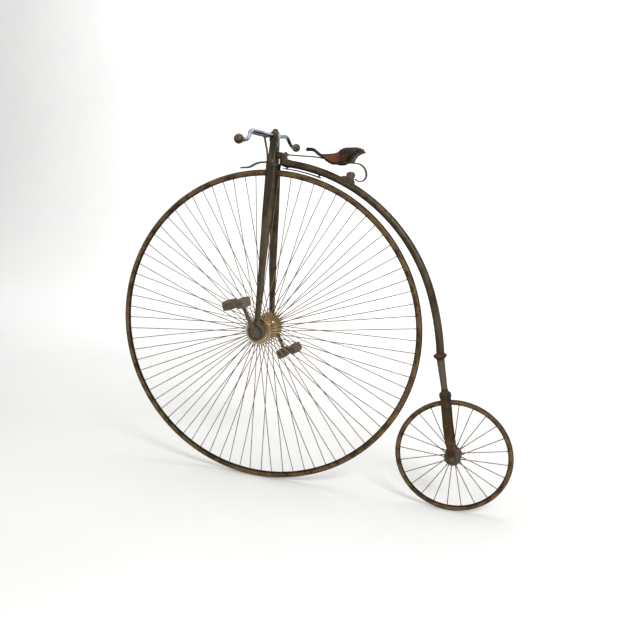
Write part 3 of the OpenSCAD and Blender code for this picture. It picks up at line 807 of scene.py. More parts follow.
class BicycleSizes(bpy.types.PropertyGroup):
    """Sizes of the details that stand on the frame."""
    spoke_wire: length_setting("Spoke wire", "Thickness of a spoke", 3.5)
    spoke_root: length_setting("Spoke root", "Thickness of a spoke's threaded root", 4.8)
    tyre_wear: length_setting("Tyre wear", "Depth of the hollows worn in the tyres", 0.5)
    forging: length_setting("Forging grain", "Size of the cells that forgings are built from", 1.1)
    leather: length_setting("Leather", "Thickness of the saddle hide", 4.2)
    rivet: length_setting("Rivet", "Radius of a saddle rivet's head", 4.2)
    rib: length_setting("Rib", "Height of the ribs on the pedal rubbers", 2.4)


# ---------------------------------------------------------------- frame

BEND_CENTRE = (2.0, 628.0)
BEND_RADIUS = 721.5
BEND_FROM, BEND_TO = 94.9, 159.6
TAIL_RADIUS = 1087.0
TAIL_TO = 172.7
REAR_LEAN = math.radians(12.2)
COLLAR_UP, CROWN_UP = 412.0, 262.0


def backbone_path(start=BEND_FROM, steps=90):
    """Centre line of the backbone: one large bend and then a gentler one."""
    path = []
    for k in range(steps):
        a = math.radians(start + (BEND_TO - start) * k / steps)
        path.append(road(BEND_CENTRE[0] + BEND_RADIUS * math.cos(a), 0,
                         BEND_CENTRE[1] + BEND_RADIUS * math.sin(a)))
    turn = math.radians(BEND_TO)
    cx = BEND_CENTRE[0] + (BEND_RADIUS - TAIL_RADIUS) * math.cos(turn)
    cz = BEND_CENTRE[1] + (BEND_RADIUS - TAIL_RADIUS) * math.sin(turn)
    for k in range(steps // 3 + 1):
        a = math.radians(BEND_TO + (TAIL_TO - BEND_TO) * k / (steps // 3))
        path.append(road(cx + TAIL_RADIUS * math.cos(a), 0, cz + TAIL_RADIUS * math.sin(a)))
    return path


def tail(up, y=0.0, out=0.0):
    """A point on the rear fork's leaning line, measured up it from the rear axle."""
    return road(REAR_X + up * math.sin(REAR_LEAN) + out * math.cos(REAR_LEAN), y,
                REAR_Z + up * math.cos(REAR_LEAN) - out * math.sin(REAR_LEAN))


TAIL_AXIS = (tail(1) - tail(0)).normalized()


class BICYCLE_OT_backbone(bpy.types.Operator):
    """Builds the backbone, its neck, its tail and the collar below it"""
    bl_idname = "bicycle.backbone"
    bl_label = "Backbone"

    def execute(self, context):
        path = backbone_path()
        piece("backbone_tube", "frame",
              [tube(path, lambda t: (14.9 + 0.8 * t, 14.9 + 0.8 * t), sides=48, ends=False)],
              "olive_enamel", ["backbone", "backbone_lower"], sharp=60)
        self.neck(path)
        piece("tail_tube", "frame",
              [lathe([(0, CROWN_UP - 4), (12, CROWN_UP - 4), (13, CROWN_UP + 38),
                      (13.8, 330), (15, 378), (15.7, COLLAR_UP - 6), (0, COLLAR_UP - 6)],
                     tail(0), TAIL_AXIS, 48)],
              "dark_iron", ["backbone_tail"], sharp=60)
        collar = [(0, -20), (15.4, -20), (15.8, -16), (18, -12.5), (22.5, -9.5), (25.3, -6.5),
                  (26, -2.5), (25.6, 1.5), (23, 4), (19, 6), (16.4, 8), (0, 8)]
        piece("step_collar", "frame", [lathe(collar, tail(COLLAR_UP), TAIL_AXIS, 72)],
              "brown_rust", ["mounting_step"], bevel=0.5)
        return {"FINISHED"}

    def neck(self, path):
        """The forging from the steering spindle back to the tube."""
        spindle = lathe([(0, 1350), (5, 1351), (7, 1356), (7, 1432), (5, 1437), (0, 1438)],
                        road(STEER_X, 0, 0), Z, 32)
        web = [(STEER_X, 1364), (-32, 1364), (-32, 1340), (-50, 1334), (-56, 1360), (-50, 1376),
               (-45.5, 1380), (-45.5, 1389), (-24, 1392), (-16, 1400), (STEER_X, 1406)]
        lug = [(-40, 1363), (-45, 1352), (-60, 1345), (-72, 1358), (-63, 1364), (-60, 1375),
               (-54, 1379), (-45.5, 1380.5), (-45.5, 1386), (-40, 1389)]
        start = path[0]
        back = (path[0] - path[1]).normalized()
        socket = tube([start - back * 0.014, start + back * 0.004, start + back * 0.013],
                      lambda t: (17 - 2.5 * t, 17 - 2.5 * t), sides=40)
        piece("neck_forging", "frame",
              [spindle, plate(web, -4, 4), plate(lug, -12, 12), socket],
              "olive_enamel", ["neck"], forged=sizes().forging, relax=6)


def head_outline(half_x, half_y, sides=96):
    """Plan of the head: a soft-cornered block round the steering axis."""
    outline = []
    for k in range(sides):
        a = k * math.tau / sides
        r = soft_corner(half_x, half_y, 6, a)
        outline.append((STEER_X + 1.5 + r * math.cos(a), r * math.sin(a)))
    return outline


def plan_loft(levels):
    """A solid from plan outlines, each with its height."""
    return loft([[road(x, y, z) for x, y in outline] for z, outline in levels])


LEG_TOP, LEG_FOOT = 1345, 697
LEG_IN, LEG_OUT = 27.5, 97.0


class BICYCLE_OT_steering(bpy.types.Operator):
    """Builds the open steering head, its cap and the two tapered fork legs"""
    bl_idname = "bicycle.steering"
    bl_label = "Steering head and fork"

    def execute(self, context):
        self.head()
        self.painted_reflection_strips()
        cap = lathe([(0, 1466), (15.5, 1466), (16, 1468), (15, 1471.5), (12, 1473), (0, 1473)],
                    road(STEER_X, 0, 0), Z, 48)
        top = nut(road(STEER_X, 0, 1473), Z, 19, 7.5, 0.4)
        piece("head_cap_nut", "fork", [cap] + top, "dark_iron", ["head_cap"],
              bevel=0.5)
        for side, name in SIDES:
            self.leg(side, name)
        return {"FINISHED"}

    def head(self):
        crown = plan_loft([(z, [(p - 4, q) for p, q in rounded_bar(x, y, x / 2 - 0.5, 8)])
                           for z, x, y in ((1336, 31, 75), (1338, 34, 78), (1352, 34, 77),
                                           (1358, 34, 71), (1363, 33, 63))])
        socket = [(0, 1337), (18.6, 1337), (20, 1339), (20, 1359), (18, 1361.5), (0, 1361.5)]
        parts = [crown, lathe(socket, road(STEER_X, 0, 0), Z, 64)]
        opening = math.radians(58)
        for side in (1, -1):
            levels = []
            for z, half in ((1350, 35), (1358, 33.5), (1368, 30.5), (1380, 28), (1395, 25.8),
                            (1410, 24), (1436, 22)):
                outer, inner = [], []
                for k in range(25):
                    a = opening + (math.pi - 2 * opening) * k / 24
                    r = soft_corner(17.5, half, 6, a)
                    outer.append((STEER_X + 1.5 + r * math.cos(a), side * r * math.sin(a)))
                    inner.append((STEER_X + 12.8 * math.cos(a), side * 12.8 * math.sin(a)))
                levels.append((z, outer + inner[::-1]))
            parts.append(plan_loft(levels))
        parts.append(plan_loft([
            (1431, head_outline(17, 21.5)), (1436, head_outline(17.5, 22)),
            (1450, head_outline(17.5, 21)), (1463, head_outline(17.2, 20)),
            (1467, head_outline(15.5, 18.4)), (1468.5, head_outline(13, 16))]))
        for side in (1, -1):
            parts.append(lathe([(0, 14), (13.5, 14), (13, 22.6), (11.5, 24.6), (0, 24.6)],
                               road(0, 0, 1455), Y * side, 32))
        piece("head_forging", "fork", parts, "olive_enamel",
              ["steering_head", "fork_crown"], forged=sizes().forging, relax=5)

    def painted_reflection_strips(self):
        """Painted reflection: nickel strips on the rear edges of the head's opening and a plate
        above it, giving the head's rear face its bright band of light.
        """
        # Painted reflection: these nickel strips stand where the head's rear face only catches
        # light.
        parts = [box_part((-23.4, -13, 1436), (-21.6, 13, 1463))]
        for side in (1, -1):
            strip = [(-13.6, 11.6), (-12.6, 10.6), (-20.4, 22.4), (-20.4, 21)]
            if side < 0:
                strip = [(x, -y) for x, y in strip]
            parts.append(plan_loft([(1394, strip), (1431, strip)]))
        piece("head_painted_reflection_strips", "fork", parts, "worn_nickel", bevel=0.3)

    def leg_centre(self, side, z):
        """Where a leg's centre line is at a height."""
        return side * (LEG_IN + (LEG_OUT - LEG_IN) * (LEG_TOP - z) / (LEG_TOP - LEG_FOOT))

    def leg(self, side, name):
        """An oval tube that narrows and leans out from the crown to the bearing."""
        rows = [(690, 12, 8), (725, 12.5, 8), (913, 15, 8.6), (1037, 18, 9), (1165, 21, 9.5),
                (LEG_TOP, 22, 9.5)]
        rings = []
        for k in range(61):
            t = k / 60
            z = LEG_TOP - (LEG_TOP - LEG_FOOT) * t
            a, b = table(rows, z)
            x, y = -5 + 5 * t, self.leg_centre(side, z)
            rings.append([road(x + p, y + q, z) for p, q in oval(a, b, 40)])
        lip = []
        for z, grow in ((1329, 0), (1331, 1.1), (1336, 1.3), (1339, 1.3)):
            y = self.leg_centre(side, z)
            lip.append([road(-5 + p, y + q, z) for p, q in oval(22 + grow, 9.5 + grow, 40)])
        piece("fork_leg_" + name, "fork", [loft(rings), loft(lip)], "olive_enamel",
              ["fork_" + name], sharp=50)


class BICYCLE_OT_bearings(bpy.types.Operator):
    """Builds the bearing cases at the foot of the fork, with their clamps and oilers"""
    bl_idname = "bicycle.bearings"
    bl_label = "Bearing cases"

    def execute(self, context):
        profile = [(0, 86), (24, 86), (30, 87), (33, 89), (36, 90), (37, 92), (37, 102), (36, 104),
                   (34, 105), (33, 106.5), (29, 108), (27, 107.5), (26, 105.5), (18, 105.5),
                   (17, 108.6), (11, 108.6), (0, 108.6)]
        for side, name in SIDES:
            centre = road(0, 0, HUB_Z)
            case = lathe(profile, centre, Y * side, 96)
            foot = []
            for z, a, b in ((HUB_Z + 30, 17, 9), (HUB_Z + 38, 16.5, 9), (HUB_Z + 46, 13.5, 8.7)):
                foot.append([road(p, side * 97 + q, z) for p, q in oval(a, b, 32)])
            piece("bearing_case_" + name, "fork", [case, loft(foot)], "dark_iron",
                  ["bearing_" + name], bevel=0.6)
            parts = []
            for k in range(6):
                a = math.radians(30 + 60 * k)
                at = centre + Vector((29.8 * math.cos(a), side * 106.6, 29.8 * math.sin(a))) * MM
                parts += nut(at, Y * side, 5.5, 2.2, k)
            cup = centre + Vector((-14, side * 97, 33)) * MM
            way = Vector((-0.4, 0, 0.92)).normalized()
            parts.append(lathe([(0, 0), (3.4, 0), (3.4, 3), (4.4, 4), (4.4, 8), (2, 10.5), (0, 11)],
                               cup, way, 20))
            piece("bearing_screws_" + name, "fork", parts, "dark_iron")
        return {"FINISHED"}


BAR_HALF = [(0, 0, 1455), (0, 30, 1455), (0, 60, 1455.5), (4, 110, 1457), (11, 170, 1460),
            (15, 218, 1461.5), (14, 243, 1454), (11, 259, 1440), (9.5, 282, 1427.5),
            (11.2, 304, 1422.8), (11.5, 323, 1422.5), (11.5, 345, 1422.5)]


class BICYCLE_OT_handlebar(bpy.types.Operator):
    """Builds the plated handlebar and its turned ball grips"""
    bl_idname = "bicycle.handlebar"
    bl_label = "Handlebar and grips"

    def execute(self, context):
        half = smooth_path([road(*p) for p in BAR_HALF], 7)
        other = [Vector((p.x, -p.y, p.z)) for p in half]
        path = other[:0:-1] + half
        piece("handlebar_tube", "fork",
              [tube(path, lambda t: (8.8 - 2.6 * abs(2 * t - 1) ** 1.5,) * 2,
                    Vector((1, 0, 0)), 28)],
              "worn_nickel", ["handlebar"], sharp=60)
        grip = [(0, 322), (8, 322), (8.6, 323.5), (8.8, 332), (8.2, 333), (9, 334.5), (9.6, 340)]
        for k in range(19):
            a = math.radians(-54 + 7.6 * k)
            grip.append((18.6 * math.cos(a), 369 + 18.6 * math.sin(a)))
        grip += [(4, 387.6), (3.4, 387), (0, 387)]
        for side, name in SIDES:
            ferrule = [(0, 315), (7.6, 315), (8.8, 316), (8.8, 322), (9.6, 323), (9.6, 325),
                       (8.6, 326), (0, 326)]
            centre = road(11.5, 0, 1422.5)
            piece("grip_ball_" + name, "fork", [lathe(grip, centre, Y * side, 56)],
                  "turned_wood", ["grip_" + name], sharp=50)
            piece("grip_ferrule_" + name, "fork", [lathe(ferrule, centre, Y * side, 40)],
                  "worn_nickel", bevel=0.4)
        return {"FINISHED"}


class BICYCLE_OT_brake(bpy.types.Operator):
    """Builds the spoon brake: lever, bracket, rod, spoon and pins"""
    bl_idname = "bicycle.brake"
    bl_label = "Brake"

    def execute(self, context):
        lever = smooth_path([road(*p) for p in (
            (38, -6, 1452), (37, 12, 1452), (31, 60, 1451), (26, 120, 1451), (26, 180, 1453),
            (27, 215, 1454))], 8)
        bracket = [box_part((12, -9, 1447), (31, -3.2, 1457)),
                   lathe(disc(6.2, -9.5, -2.5), road(33, 0, 1451.5), Y, 28)]
        piece("brake_lever_bar", "fork",
              [tube(lever, lambda t: (3.6 + 0.8 * t, 5.4 - 0.6 * t),
                    Vector((1, 0, 0)), 20)] + bracket,
              "dark_iron", ["brake_lever"], bevel=0.4)
        rod = smooth_path([road(*p) for p in (
            (35, 12, 1449), (27, 12, 1416), (20.5, 12, 1389), (17.5, 12, 1362),
            (17.5, 12, 1350))], 8)
        ends = [lathe(disc(5.2, 8, 16), road(x, 0, z), Y, 24)
                for x, z in ((36, 1450), (18.5, 1349))]
        piece("brake_rod_bar", "fork", [tube(rod, lambda t: (4.2, 4.2), Y, 18)] + ends,
              "dark_iron", ["brake_rod"], bevel=0.3)
        blade = smooth_path([road(x, 0, z) for x, z in (
            (15.5, 1348), (40, 1348), (58, 1345), (74, 1339), (90, 1330), (104, 1325),
            (135, 1322))], 8)
        pivot = lathe(disc(5, -13, 17.5), road(18.5, 0, 1348.5), Y, 24)
        spoon = sweep(blade, rounded_bar(7.4, 22, 2.4), Y,
                      lambda t: (1 - 0.35 * max(0, t - 0.6), 0.62 + 0.38 * min(1, t * 1.6)))
        piece("brake_spoon_blade", "fork", [spoon, pivot], "dark_iron",
              ["brake_spoon"], bevel=0.5)
        return {"FINISHED"}


# ---------------------------------------------------------------- wheels

def hub_turning(half, flange_r, flange_t, barrel_r, boss_r, boss_out):
    """Profile of a turned hub: barrel, two beaded flanges, a boss at each end."""
    half_profile = [(barrel_r, 0), (barrel_r, half - flange_t - 18),
                    (barrel_r + 2.5, half - flange_t - 15), (barrel_r + 1.5, half - flange_t - 13),
                    (barrel_r + 4, half - flange_t - 6), (barrel_r + 11, half - flange_t - 1.5),
                    (flange_r - 6, half - flange_t + 0.5), (flange_r - 1, half - flange_t),
                    (flange_r, half - flange_t + 1), (flange_r, half - 2), (flange_r - 1, half - 1),
                    (flange_r - 7, half - 1), (flange_r - 8.5, half - 2.6),
                    (boss_r + 5, half - 2.6), (boss_r + 1.5, half - 0.5), (boss_r, half),
                    (boss_r, boss_out - 1), (boss_r - 1, boss_out), (0, boss_out)]
    return [(r, -y) for r, y in half_profile[:0:-1]] + half_profile


def mark(obj, name, value_at):
    """Writes a value for each vertex into an attribute that the finish reads."""
    layer = obj.data.attributes.new(name, "FLOAT", "POINT")
    for vertex, item in zip(obj.data.vertices, layer.data):
        item.value = value_at(vertex)
    return obj


def mark_edges(obj, centre, outer, thick):
    """Marks how near each point of a wheel's ring is to the ring's inner or outer edge, for the
    painted shade there.
    """
    middle = (outer - thick * 0.58) * MM
    half = thick * 0.58 * MM

    def nearness(vertex):
        reach = math.hypot(vertex.co.x - centre.x, vertex.co.z - centre.z)
        return abs(reach - middle) / half

    return mark(obj, "edge", nearness)


def tyre(name, body, centre, outer, thick, replaces):
    """A solid tyre, worn into shallow hollows."""
    profile = [(outer - thick / 2 + thick / 2 * math.cos(k * math.tau / 32),
                thick / 2 * math.sin(k * math.tau / 32)) for k in range(32)]
    points, faces = turned_ring(profile, centre, 300)
    worn = []
    for p in points:
        out = p - centre
        if Vector((out.x, 0, out.z)).length > (outer - thick / 2) * MM:
            hollow = noise.noise(out * 14) * 0.6 + noise.noise(out * 55) * 0.4
            p = p - out.normalized() * sizes().tyre_wear * max(0, hollow)
        worn.append(p)
    ring = piece(name, body, [(worn, faces)], "tyre_rubber", replaces, sharp=180)
    return mark_edges(ring, centre, outer, thick)


def rim(name, body, centre, outer, thick, wall, replaces):
    """A rolled crescent rim with a bead along each edge."""
    seat = outer - thick / 2
    back = thick / 2 + wall - 0.5
    profile = []
    for k in range(25):
        a = math.pi / 2 + math.pi * k / 24
        profile.append((seat - 0.5 + back * math.cos(a), back * math.sin(a)))
    for k in range(7):
        a = -math.pi / 2 - 0.3 + 2.6 * k / 6
        profile.append((seat + 0.6 + 1.5 * math.cos(a), -back + 1.1 + 1.5 * math.sin(a)))
    for k in range(21):
        a = math.pi * 1.5 - math.pi * k / 20
        profile.append((seat + thick / 2 * 0.97 * math.cos(a), thick / 2 * 0.97 * math.sin(a)))
    for k in range(7):
        a = math.pi / 2 - 2.3 + 2.6 * k / 6
        profile.append((seat + 0.6 + 1.5 * math.cos(a), back - 1.1 + 1.5 * math.sin(a)))
    ring = piece(name, body, [turned_ring(profile, centre, 300)], "rusty_rim",
                 replaces, sharp=180)
    return mark_edges(ring, centre, outer, thick)


def spokes(name, body, centre, replaces, count, phase, inner, outer, bend):
    """Direct spokes, each screwed into a flange and headed in the rim."""
    obj = grow(name, "spokes", {
        "Count": count, "Phase": math.radians(phase), "Inner radius": inner[0] * MM,
        "Inner offset": inner[1] * MM, "Outer radius": outer[0] * MM,
        "Outer offset": outer[1] * MM, "Wire": sizes().spoke_wire / 2,
        "Root": sizes().spoke_root / 2, "Bend": bend * MM, "Centre": centre,
        "Finish": finish_of("spoke_wire")})
    return dress(obj, body, "spoke_wire", replaces, 50)


class BICYCLE_OT_wheels(bpy.types.Operator):
    """Builds both wheels: solid tyres, rolled rims, direct spokes and turned hubs"""
    bl_idname = "bicycle.wheels"
    bl_label = "Wheels"

    def execute(self, context):
        tyre("big_tyre", "front_wheel", FRONT_HUB, FRONT_R, 22, ["front_tyre"])
        rim("big_rim", "front_wheel", FRONT_HUB, FRONT_R, 22, 3, ["front_rim"])
        spokes("big_wheel_spokes", "front_wheel", FRONT_HUB, ["front_spokes"], 80, 2.9,
               (50, 74), (637, 3), 1.6)
        piece("big_hub", "front_wheel",
              [lathe(hub_turning(78, 54, 8, 19, 24, 81), FRONT_HUB, Y, 96)], "gunmetal",
              ["front_hub"], sharp=35)
        tyre("small_tyre", "rear_wheel", REAR_HUB, REAR_R, 18, ["rear_tyre"])
        rim("small_rim", "rear_wheel", REAR_HUB, REAR_R, 18, 2.5, ["rear_rim"])
        spokes("small_wheel_spokes", "rear_wheel", REAR_HUB, ["rear_spokes"], 24, 1,
               (29, 26), (210.5, 2), 0.5)
        piece("small_hub", "rear_wheel",
              [lathe(hub_turning(29, 33, 5, 10, 13, 35), REAR_HUB, Y, 64)], "dark_iron",
              ["rear_hub"], sharp=35)
        return {"FINISHED"}


# ---------------------------------------------------------------- cranks and pedals

CRANK_IN, CRANK_OUT = 113.0, 125.0
PEDAL_IN, PEDAL_OUT = 130.0, 216.0
BLOCK_AT = 30
PEDAL_TILT = {1: math.radians(14), -1: math.radians(27)}


def tilted(part, centre, angle):
    """Turns a part about the axis across the bicycle, nose down for a positive angle."""
    points, faces = part
    turn = Matrix.Rotation(angle, 3, "Y")
    return [centre + turn @ (p - centre) for p in points], faces


class BICYCLE_OT_cranks(bpy.types.Operator):
    """Builds the axle, the two forged cranks and the pedal pins"""
    bl_idname = "bicycle.cranks"
    bl_label = "Axle and cranks"

    def execute(self, context):
        axle = [(0, -127.5), (8.5, -127.5), (10, -126), (10, 126), (8.5, 127.5), (0, 127.5)]
        piece("big_axle", "front_wheel", [lathe(axle, FRONT_HUB, Y, 48)], "dark_iron",
              ["front_axle"], sharp=40)
        for side, name in SIDES:
            self.crank(side, name)
        return {"FINISHED"}

    def crank(self, side, name):
        """A tapered arm between a split boss on the axle and an eye for the pedal pin."""
        pin = PEDALS[side]
        reach = flat(pin) - flat(FRONT_HUB)
        way, length = reach.normalized(), reach.length / MM
        middle = flat(FRONT_HUB) + Y * side * (CRANK_IN + CRANK_OUT) / 2 * MM
        boss = lathe([(0, CRANK_IN), (19, CRANK_IN), (19.5, CRANK_IN + 2), (19.5, CRANK_OUT - 2),
                      (18, CRANK_OUT + 1), (0, CRANK_OUT + 1)], FRONT_HUB, Y * side, 48)
        eye = lathe([(0, CRANK_IN + 0.5), (13, CRANK_IN + 0.5), (13.4, CRANK_IN + 2),
                     (13.4, CRANK_OUT - 2), (12, CRANK_OUT), (0, CRANK_OUT)],
                    flat(pin), Y * side, 40)
        rows = [(8, 13, 6), (30, 11, 5.6), (60, 8.4, 5), (110, 7.4, 4.8), (length - 6, 8, 5)]
        arm = []
        side_way = Vector((-way.z, 0, way.x))
        for k in range(25):
            at = 8 + (length - 14) * k / 24
            wide, thick = table(rows, at)
            centre = middle + way * at * MM
            arm.append([centre + (side_way * x + Y * y) * MM
                        for x, y in rounded_bar(2 * wide, 2 * thick, 3.4)])
        piece("crank_arm_" + name, "front_wheel", [boss, eye, loft(arm)], "dark_iron",
              ["crank_" + name], forged=sizes().forging, relax=5)
        cotter = middle + way * 15 * MM - side_way * 22 * MM
        parts = [lathe([(0, 0), (4, 0), (4.2, 1), (3.6, 42), (2.8, 44), (0, 44)], cotter,
                       side_way, 20)]
        parts += nut(cotter + side_way * 1 * MM, -side_way, 10, 5, 0.2)
        pin_profile = [(0, CRANK_IN - 3), (4.2, CRANK_IN - 3), (5, CRANK_IN - 2.2), (6, CRANK_IN),
                       (6, CRANK_OUT), (8.6, CRANK_OUT), (8.6, CRANK_OUT + 3), (6, CRANK_OUT + 3),
                       (6, PEDAL_OUT + 0.5), (0, PEDAL_OUT + 0.5)]
        parts.append(lathe(pin_profile, flat(pin), Y * side, 32))
        piece("pedal_spindle_" + name, "front_wheel", parts, "dark_iron",
              ["pedal_pin_" + name], bevel=0.4)


class BICYCLE_OT_pedals(bpy.types.Operator):
    """Builds the two pedals: steel cages holding ribbed rubber blocks"""
    bl_idname = "bicycle.pedals"
    bl_label = "Pedals"

    def execute(self, context):
        for side, name in SIDES:
            centre = flat(PEDALS[side])
            self.cage(side, name, centre)
            self.rubbers(side, name, centre)
        return {"FINISHED"}

    def cage(self, side, name, centre):
        """End plates, the barrel round the pin and the nuts on the rubbers' rods."""
        parts = []
        plate_outline = []
        for end, start in ((1, -90), (-1, 90)):
            for k in range(13):
                a = math.radians(start + 180 * k / 12)
                plate_outline.append((end * BLOCK_AT + 11 * math.cos(a), 11 * math.sin(a)))
        for y in (PEDAL_IN, PEDAL_OUT - 4):
            ring = lambda at: [centre + Vector((x, side * at, z)) * MM for x, z in plate_outline]
            parts.append(loft([ring(y), ring(y + 4)]))
        barrel = [(0, PEDAL_IN - 1), (10, PEDAL_IN - 1), (10, PEDAL_IN + 5), (11, PEDAL_IN + 7),
                  (9.5, PEDAL_IN + 20), (9.5, PEDAL_OUT - 20), (11, PEDAL_OUT - 7),
                  (10.5, PEDAL_OUT + 0.4), (7, PEDAL_OUT + 3), (0, PEDAL_OUT + 3.6)]
        parts.append(lathe(barrel, centre, Y * side, 40))
        for x in (-BLOCK_AT, BLOCK_AT):
            rod = centre + Vector((x, 0, 0)) * MM
            parts.append(lathe(disc(4, PEDAL_IN - 2, PEDAL_OUT + 1), rod, Y * side, 20))
            parts += nut(rod + Y * side * PEDAL_OUT * MM, Y * side, 10, 4, 0.2)
            parts += nut(rod + Y * side * (PEDAL_IN - 0.5) * MM, -Y * side, 10, 2.4, 0.4)
        parts = [tilted(part, centre, PEDAL_TILT[side]) for part in parts]
        piece("pedal_frame_" + name, "pedal_" + name, parts, "dark_iron",
              ["pedal_cage_" + name], bevel=0.5)

    def rubbers(self, side, name, centre):
        """Two rubber blocks, grooved along their length, with a row of ribs across each."""
        parts = []
        low, high = PEDAL_IN + 4.4, PEDAL_OUT - 4.4
        for x in (-BLOCK_AT, BLOCK_AT):
            outline = []
            for k in range(96):
                a = k * math.tau / 96
                r = soft_corner(18.5, 18.5, 5, a)
                groove = 1.1 * (0.5 + 0.5 * math.cos(a * 16)) ** 3
                outline.append((x + (r - groove) * math.cos(a), (r - groove) * math.sin(a)))
            rings = []
            for y, shrink in ((low, 0.9), (low + 1.5, 0.98), (low + 4, 1), (high - 4, 1),
                              (high - 1.5, 0.98), (high, 0.9)):
                rings.append([centre + Vector((x + (p - x) * shrink, side * y, q * shrink)) * MM
                              for p, q in outline])
            parts.append(loft(rings))
        parts = [tilted(part, centre, PEDAL_TILT[side]) for part in parts]
        piece("pedal_blocks_" + name, "pedal_" + name, parts, "pedal_rubber",
              ["pedal_rubbers_" + name], sharp=50)
        rise = sizes().rib
        for place, x in (("front", BLOCK_AT), ("back", -BLOCK_AT)):
            obj = grow("pedal_ribs_%s_%s" % (place, name), "ribs", {
                "Count": 10, "Start": Vector((x * MM, side * (low + 5) * MM, 0)),
                "Step": Vector((0, side * (high - low - 10) / 9 * MM, 0)),
                "Size": Vector((0.0384, 0.0028, 0.0368 + rise)),
                "Turn": Vector((0, PEDAL_TILT[side], 0)), "Centre": centre,
                "Finish": finish_of("pedal_rubber")})
            dress(obj, "pedal_" + name, "pedal_rubber")


# ---------------------------------------------------------------- rear fork

class BICYCLE_OT_rear_fork(bpy.types.Operator):
    """Builds the small wheel's fork: crown, two blades, axle and nuts"""
    bl_idname = "bicycle.rear_fork"
    bl_label = "Rear fork"

    def execute(self, context):
        crown = lathe([(0, 246), (20, 246), (23, 250), (23.4, 254), (22.8, 258), (19.6, 261.5),
                       (15.4, 264), (13.6, 268), (13.2, 277), (0, 277)], tail(0), TAIL_AXIS, 48)
        shoulders = []
        for up, a, b in ((239, 21, 29), (241, 23.4, 32), (246, 24, 32.5), (251, 23, 27),
                         (256, 21, 20)):
            shoulders.append([tail(up, q, p) for p, q in oval(a, b, 48)])
        piece("rear_crown_forging", "frame", [crown, loft(shoulders)], "brown_rust",
              ["rear_fork_crown"], forged=sizes().forging, relax=5)
        for side, name in SIDES:
            rows = [(-4, 0, 13.4, 3.4), (38, 2, 14.6, 3.4), (78, 3.6, 16.2, 3.4),
                    (120, 4, 17, 3.5), (200, 1.4, 17.6, 3.6), (244, 0, 17.8, 3.8)]
            rings = []
            for k in range(41):
                up = -4 + 248 * k / 40
                y = 44 - (44 - 25.5) * max(0, up) / 244
                out, wide, thick = table(rows, up)
                rings.append([tail(up, side * y + q, p + out)
                              for p, q in rounded_bar(2 * wide, 2 * thick, 2.6)])
            eye = lathe(disc(15, -3.6, 3.6),
                        REAR_HUB + Y * side * 44 * MM, Y * side, 48)
            piece("rear_blade_" + name, "frame", [loft(rings), eye], "brown_rust",
                  ["rear_fork_" + name], forged=sizes().forging, relax=4)
        parts = [lathe([(0, -61), (4, -61), (5, -60), (5, 60), (4, 61), (0, 61)], REAR_HUB, Y, 28)]
        for side in (1, -1):
            parts += nut(REAR_HUB + Y * side * 49 * MM, Y * side, 19, 8, 0.35)
            parts.append(lathe(disc(12, 47.5, 49.2), REAR_HUB, Y * side, 32))
        piece("small_axle", "frame", parts, "dark_iron", ["rear_axle"], bevel=0.4)
        return {"FINISHED"}


# ---------------------------------------------------------------- saddle

SADDLE_ROWS = [(-141, 1410.5, 12, 1401), (-152, 1413, 15, 1400), (-170, 1411.5, 17, 1399),
               (-184, 1402, 20, 1393), (-200, 1391, 25, 1385), (-218, 1390, 32, 1373),
               (-238, 1391.5, 41, 1358.5), (-260, 1395, 52, 1349.5), (-275, 1400.5, 62, 1348.5),
               (-287, 1411, 70, 1350.5), (-302, 1417, 78, 1357), (-318, 1418.5, 85, 1360.5),
               (-331, 1419, 88, 1384), (-345, 1419.5, 84, 1394), (-356, 1418, 72, 1398),
               (-366, 1413, 54, 1398), (-374, 1405, 36, 1398.5)]
SADDLE_END = len(SADDLE_ROWS) - 1
SKIRT_CURVE = 3.2
LEAF = [(-46, 1383), (-95, 1379.5), (-150, 1378), (-190, 1375.8), (-240, 1367.5), (-300, 1359.5)]


def saddle_row(s):
    """The saddle's row at s, from 0 at the nose to SADDLE_END at the back."""
    i = min(int(s), SADDLE_END - 1)
    a, b, c, d = (Vector(SADDLE_ROWS[min(max(k, 0), SADDLE_END)]) for k in range(i - 1, i + 3))
    return between(a, b, c, d, s - i)


def hide_point(s, t, inside=0.0):
    """A point on the hide: s along it, t across from -1 to 1, so far under its outside."""
    x, crown, half, skirt = saddle_row(s)
    drop = (crown - skirt) * abs(t) ** SKIRT_CURVE
    y = (half - inside) * t * (1.25 - 0.25 * t * t)
    z = crown - inside * (1 - abs(t) ** 6) - drop
    crease = noise.noise(Vector((s * 1.3, t * 3.0, 1.7))) * 1.6
    crease += noise.noise(Vector((s * 3.8, t * 7.0, 4.2))) * 0.6
    fade = min(1, s * 0.3, (SADDLE_END - s) * 0.3 + 0.3)
    return road(x, y, z - max(0, crease) * fade)


